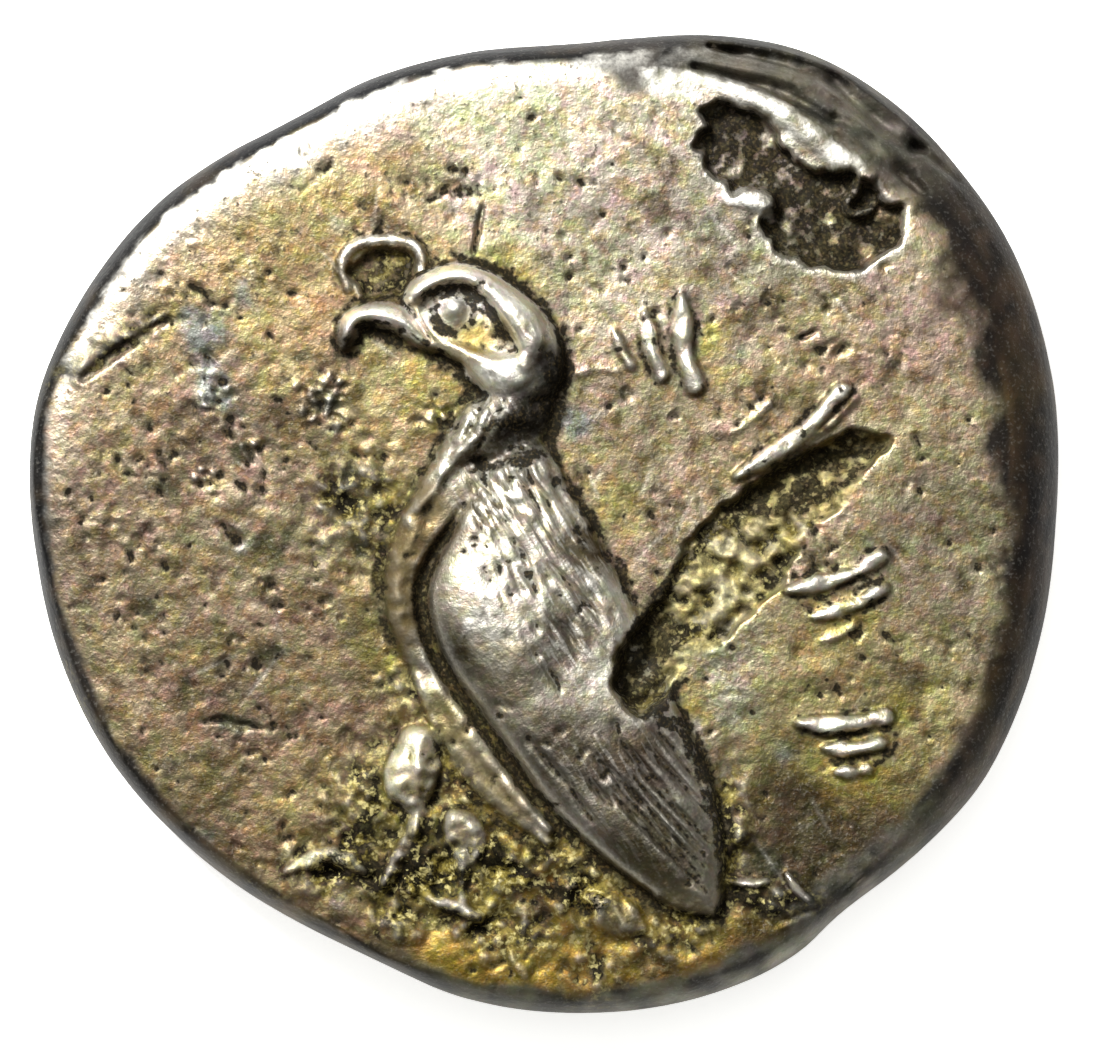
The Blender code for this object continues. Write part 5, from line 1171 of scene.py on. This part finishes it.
def tonedSilver(look):
    # toned struck silver: bare and bright where handled and where highlights are painted, brown-grey tarnish in the
    # field, black-brown in every hollow and in painted shade, so that the relief reads by its dirt and painted shade as
    # much as by its shine
    material = bpy.data.materials.new("tonedStruckSilver")
    material.use_nodes = True
    tree = material.node_tree
    tree.nodes.clear()
    times, plus, larger = ({"operation": kind, "use_clamp": True} for kind in ("MULTIPLY", "ADD", "MAXIMUM"))
    cover, stain = ({"data_type": "RGBA", "blend_type": kind} for kind in ("MIX", "MULTIPLY"))
    place = addNode(tree, "ShaderNodeTexCoord")["Object"]
    fan = addNode(tree, "ShaderNodeMapping", {"vector_type": "TEXTURE"}, {
        "Vector": place, "Rotation": (0, 0, math.radians(eagle["featherTurn"])), "Scale": (look["streakRun"], 1, 1)})[0]
    # what the skin says about each place, then the patterns, each drawn to its own size
    patterns = {name: addNode(tree, "ShaderNodeAttribute", {"attribute_name": name})["Fac"] for name in patinaAndPaintedLight["plain"]}
    colour = addNode(tree, "ShaderNodeAttribute", {"attribute_name": "tone"})["Color"]
    for name, where, detail, rough in (("mottle", place, 4, 0.6), ("fleck", place, 3, 0.55), ("grain", place, 1, 0.6),
                                       ("hueSpread", place, 3, 0.7), ("streak", fan, 1, 0.5)):
        noise = addNode(tree, "ShaderNodeTexNoise", {}, {
            "Vector": where, "Scale": 1 / (look[name] * mm), "Detail": detail, "Roughness": rough})
        patterns[name] = noise["Fac"]
        if name == "hueSpread":
            hue = addNode(tree, "ShaderNodeSeparateColor", {}, {"Color": noise["Color"]})
            patterns.update(ochre=hue[0], lilac=hue[1], green=hue[2])
    shares = {}
    for name, (pattern, low, high, atLow, atHigh) in look["shares"].items():
        shares[name] = addNode(tree, "ShaderNodeMapRange", {}, {
            "Value": patterns[pattern], "From Min": low, "From Max": high, "To Min": atLow, "To Max": atHigh})[0]
    # mottled tarnish: blotches, then ochre, lilac and green flecks, all weaker on the relief and where it is dull
    quiet = addNode(tree, "ShaderNodeMath", times, {0: shares["onRelief"], 1: shares["onDull"]})[0]
    loud = addNode(tree, "ShaderNodeMath", larger, {0: quiet, 1: 0.5})[0]
    for name, strength in (("blotch", loud), ("ochre", quiet), ("lilac", quiet), ("green", quiet)):
        share = addNode(tree, "ShaderNodeMath", times, {0: shares[name], 1: strength})[0]
        colour = addNode(tree, "ShaderNodeMix", stain, {0: share, 6: colour, 7: look[name]})[2]
    # bare metal and painted highlights: painted glints in the tarnish, the lit backs of the feathers' streaks, and what
    # is rubbed or has a highlight painted on it
    for name, strength in (("glint", quiet), ("lit", patterns["barbs"]), ("worn", patterns["worn"])):
        share = addNode(tree, "ShaderNodeMath", times, {0: shares[name], 1: strength})[0]
        colour = addNode(tree, "ShaderNodeMix", cover, {0: share, 6: colour, 7: look["bareAndHighlight"]})[2]
    # dirt and painted shade: black specks, the painted shade lines between the streaks, and the hollows and shaded
    # walls, whose edge breaks up
    speck = addNode(tree, "ShaderNodeMath", times, {0: shares["speck"], 1: shares["crumbly"]})[0]
    speck = addNode(tree, "ShaderNodeMath", times, {0: speck, 1: quiet})[0]
    parted = addNode(tree, "ShaderNodeMath", times, {0: shares["parted"], 1: patterns["barbs"]})[0]
    hollowAndShade = addNode(tree, "ShaderNodeMath", plus, {0: patterns["dirtAndShade"], 1: shares["ragged"]})[0]
    hollowAndShade = addNode(tree, "ShaderNodeMapRange", {}, {
        "Value": hollowAndShade, "From Min": 0.2, "From Max": 0.85, "To Max": 0.97})[0]
    dirtiedAndShaded = addNode(tree, "ShaderNodeMath", times, {0: patterns["dirtAndShade"], 1: 0.5})[0]
    for share in (hollowAndShade, speck, parted):
        dirtiedAndShaded = addNode(tree, "ShaderNodeMath", larger, {0: dirtiedAndShaded, 1: share})[0]
    dirtAndShadeColour = addNode(tree, "ShaderNodeMix", cover, {0: shares["dusty"], 6: look["dirtAndShade"], 7: look["dirtLight"]})[2]
    colour = addNode(tree, "ShaderNodeMix", cover, {0: dirtiedAndShaded, 6: colour, 7: dirtAndShadeColour})[2]
    # crust: olive and cream crumbs in black
    coarse = addNode(tree, "ShaderNodeMath", times, {0: patterns["mottle"], 1: 0.6})[0]
    clumps = addNode(tree, "ShaderNodeMath", times, {0: patterns["fleck"], 1: 0.4})[0]
    clumps = addNode(tree, "ShaderNodeMath", plus, {0: coarse, 1: clumps})[0]
    clumps = addNode(tree, "ShaderNodeMapRange", {}, {"Value": clumps, "From Min": 0.5, "From Max": 0.58})[0]
    crumb = addNode(tree, "ShaderNodeMix", cover, {0: clumps, 6: look["crustDark"], 7: look["crustMiddle"]})[2]
    crumb = addNode(tree, "ShaderNodeMix", cover, {0: shares["pale"], 6: crumb, 7: look["crustLight"]})[2]
    crusted = addNode(tree, "ShaderNodeMath", times, {0: shares["crusted"], 1: patterns["crust"]})[0]
    colour = addNode(tree, "ShaderNodeMix", cover, {0: crusted, 6: colour, 7: crumb})[2]
    # dirt, painted shade, crust and the dull edge take the shine away
    matt = addNode(tree, "ShaderNodeMath", times, {0: dirtiedAndShaded, 1: 0.9})[0]
    dull = addNode(tree, "ShaderNodeMath", times, {0: patterns["dull"], 1: 0.55})[0]
    for share in (crusted, dull):
        matt = addNode(tree, "ShaderNodeMath", larger, {0: matt, 1: share})[0]
    normal = addNode(tree, "ShaderNodeBump", {}, {
        "Strength": 1, "Distance": look["grainDepth"] * mm, "Height": patterns["grain"]})[0]
    normal = addNode(tree, "ShaderNodeBump", {}, {
        "Strength": 1, "Distance": look["fleckDepth"] * mm, "Height": patterns["fleck"], "Normal": normal})[0]
    shader = addNode(tree, "ShaderNodeBsdfPrincipled", {}, {
        "Base Color": colour,
        "Metallic": addNode(tree, "ShaderNodeMapRange", {}, {"Value": matt, "To Min": 1, "To Max": 0.3})[0],
        "Roughness": addNode(tree, "ShaderNodeMapRange", {}, {
            "Value": matt, "To Min": look["roughness"], "To Max": look["dirtRoughness"]})[0],
        "Specular IOR Level": addNode(tree, "ShaderNodeMapRange", {}, {
            "Value": matt, "From Min": 0.3, "To Min": 0.5, "To Max": 0.04})[0],
        "Normal": normal,
    })[0]
    addNode(tree, "ShaderNodeOutputMaterial", {}, {"Surface": shader})
    return material


# Studio: a white sheet, one soft light from the upper left and a weak fill

studio = {
    "floor": "#f4f4f2",
    "floorHalf": 1.5,
    "floorRoughness": 0.95,
    "paperGlow": 0.86,  # a sheet lit from behind, so that shadows stay faint
    "key": {"azimuth": 124, "elevation": 48, "distance": 0.30, "size": 0.08, "power": 2.2},
    "fill": {"azimuth": 100, "elevation": 70, "distance": 0.35, "size": 0.30, "power": 0.5},
    "ambient": 0.11,
    "horizon": 0.96,  # as bright as the far end of the sheet, so that no edge shows in a low view
    "camera": {"distance": 0.25, "frameWidth": 21.98, "x": 0.11, "y": -0.02, "level": 2.2, "sensor": 36.0},
}


def makeFloor():
    # matt white paper: no gloss, so that only the soft shadow shows on it
    mesh = bpy.data.meshes.new("paperSheet")
    half = studio["floorHalf"]
    mesh.from_pydata([(-half, -half, 0), (half, -half, 0), (half, half, 0), (-half, half, 0)], [], [(0, 1, 2, 3)])
    floor = bpy.data.objects.new("paperSheet", mesh)
    bpy.context.scene.collection.objects.link(floor)
    material = bpy.data.materials.new("mattPaper")
    material.use_nodes = True
    tree = material.node_tree
    tree.nodes.clear()
    shader = addNode(tree, "ShaderNodeBsdfPrincipled", {}, {
        "Base Color": studio["floor"], "Roughness": studio["floorRoughness"],
        "Emission Color": studio["floor"], "Emission Strength": studio["paperGlow"]})[0]
    addNode(tree, "ShaderNodeOutputMaterial", {}, {"Surface": shader})
    mesh.materials.append(material)
    return floor


def aim(thing, azimuth, elevation, distance):
    a, e = math.radians(azimuth), math.radians(elevation)
    thing.location = (distance * math.cos(e) * math.cos(a), distance * math.cos(e) * math.sin(a), distance * math.sin(e))
    thing.rotation_euler = (math.pi / 2 - e, 0, a + math.pi / 2)


def makeLights():
    for name in ("key", "fill"):
        lamp = studio[name]
        data = bpy.data.lights.new(name, "AREA")
        data.shape = "DISK"
        data.size = lamp["size"]
        data.energy = lamp["power"]
        light = bpy.data.objects.new(name, data)
        bpy.context.scene.collection.objects.link(light)
        aim(light, lamp["azimuth"], lamp["elevation"], lamp["distance"])
    world = bpy.data.worlds.new("studio")
    bpy.context.scene.world = world
    world.use_nodes = True
    tree = world.node_tree
    tree.nodes.clear()
    seen = addNode(tree, "ShaderNodeLightPath")["Is Camera Ray"]
    strength = addNode(tree, "ShaderNodeMapRange", {}, {
        "Value": seen, "To Min": studio["ambient"], "To Max": studio["horizon"]})[0]
    light = addNode(tree, "ShaderNodeBackground", {}, {"Color": studio["floor"], "Strength": strength})[0]
    addNode(tree, "ShaderNodeOutputWorld", {}, {"Surface": light})


def makeCamera():
    view = studio["camera"]
    data = bpy.data.cameras.new("overhead")
    data.sensor_width = view["sensor"]
    data.lens = view["sensor"] * view["distance"] / (view["frameWidth"] * mm)
    data.clip_start = 0.005
    data.clip_end = 20
    camera = bpy.data.objects.new("overhead", data)
    camera.location = (view["x"] * mm, view["y"] * mm, view["distance"] + view["level"] * mm)
    bpy.context.scene.collection.objects.link(camera)
    bpy.context.scene.camera = camera


makeCamera()
makeLights()
makeFloor()
print("studio set")
coin = makeCoin()
coin.data.materials.clear()
coin.data.materials.append(tonedSilver(silverLook))
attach(coin, "root")
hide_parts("coin")
bpy.context.scene.view_settings.view_transform = "Standard"
print("coin finished")
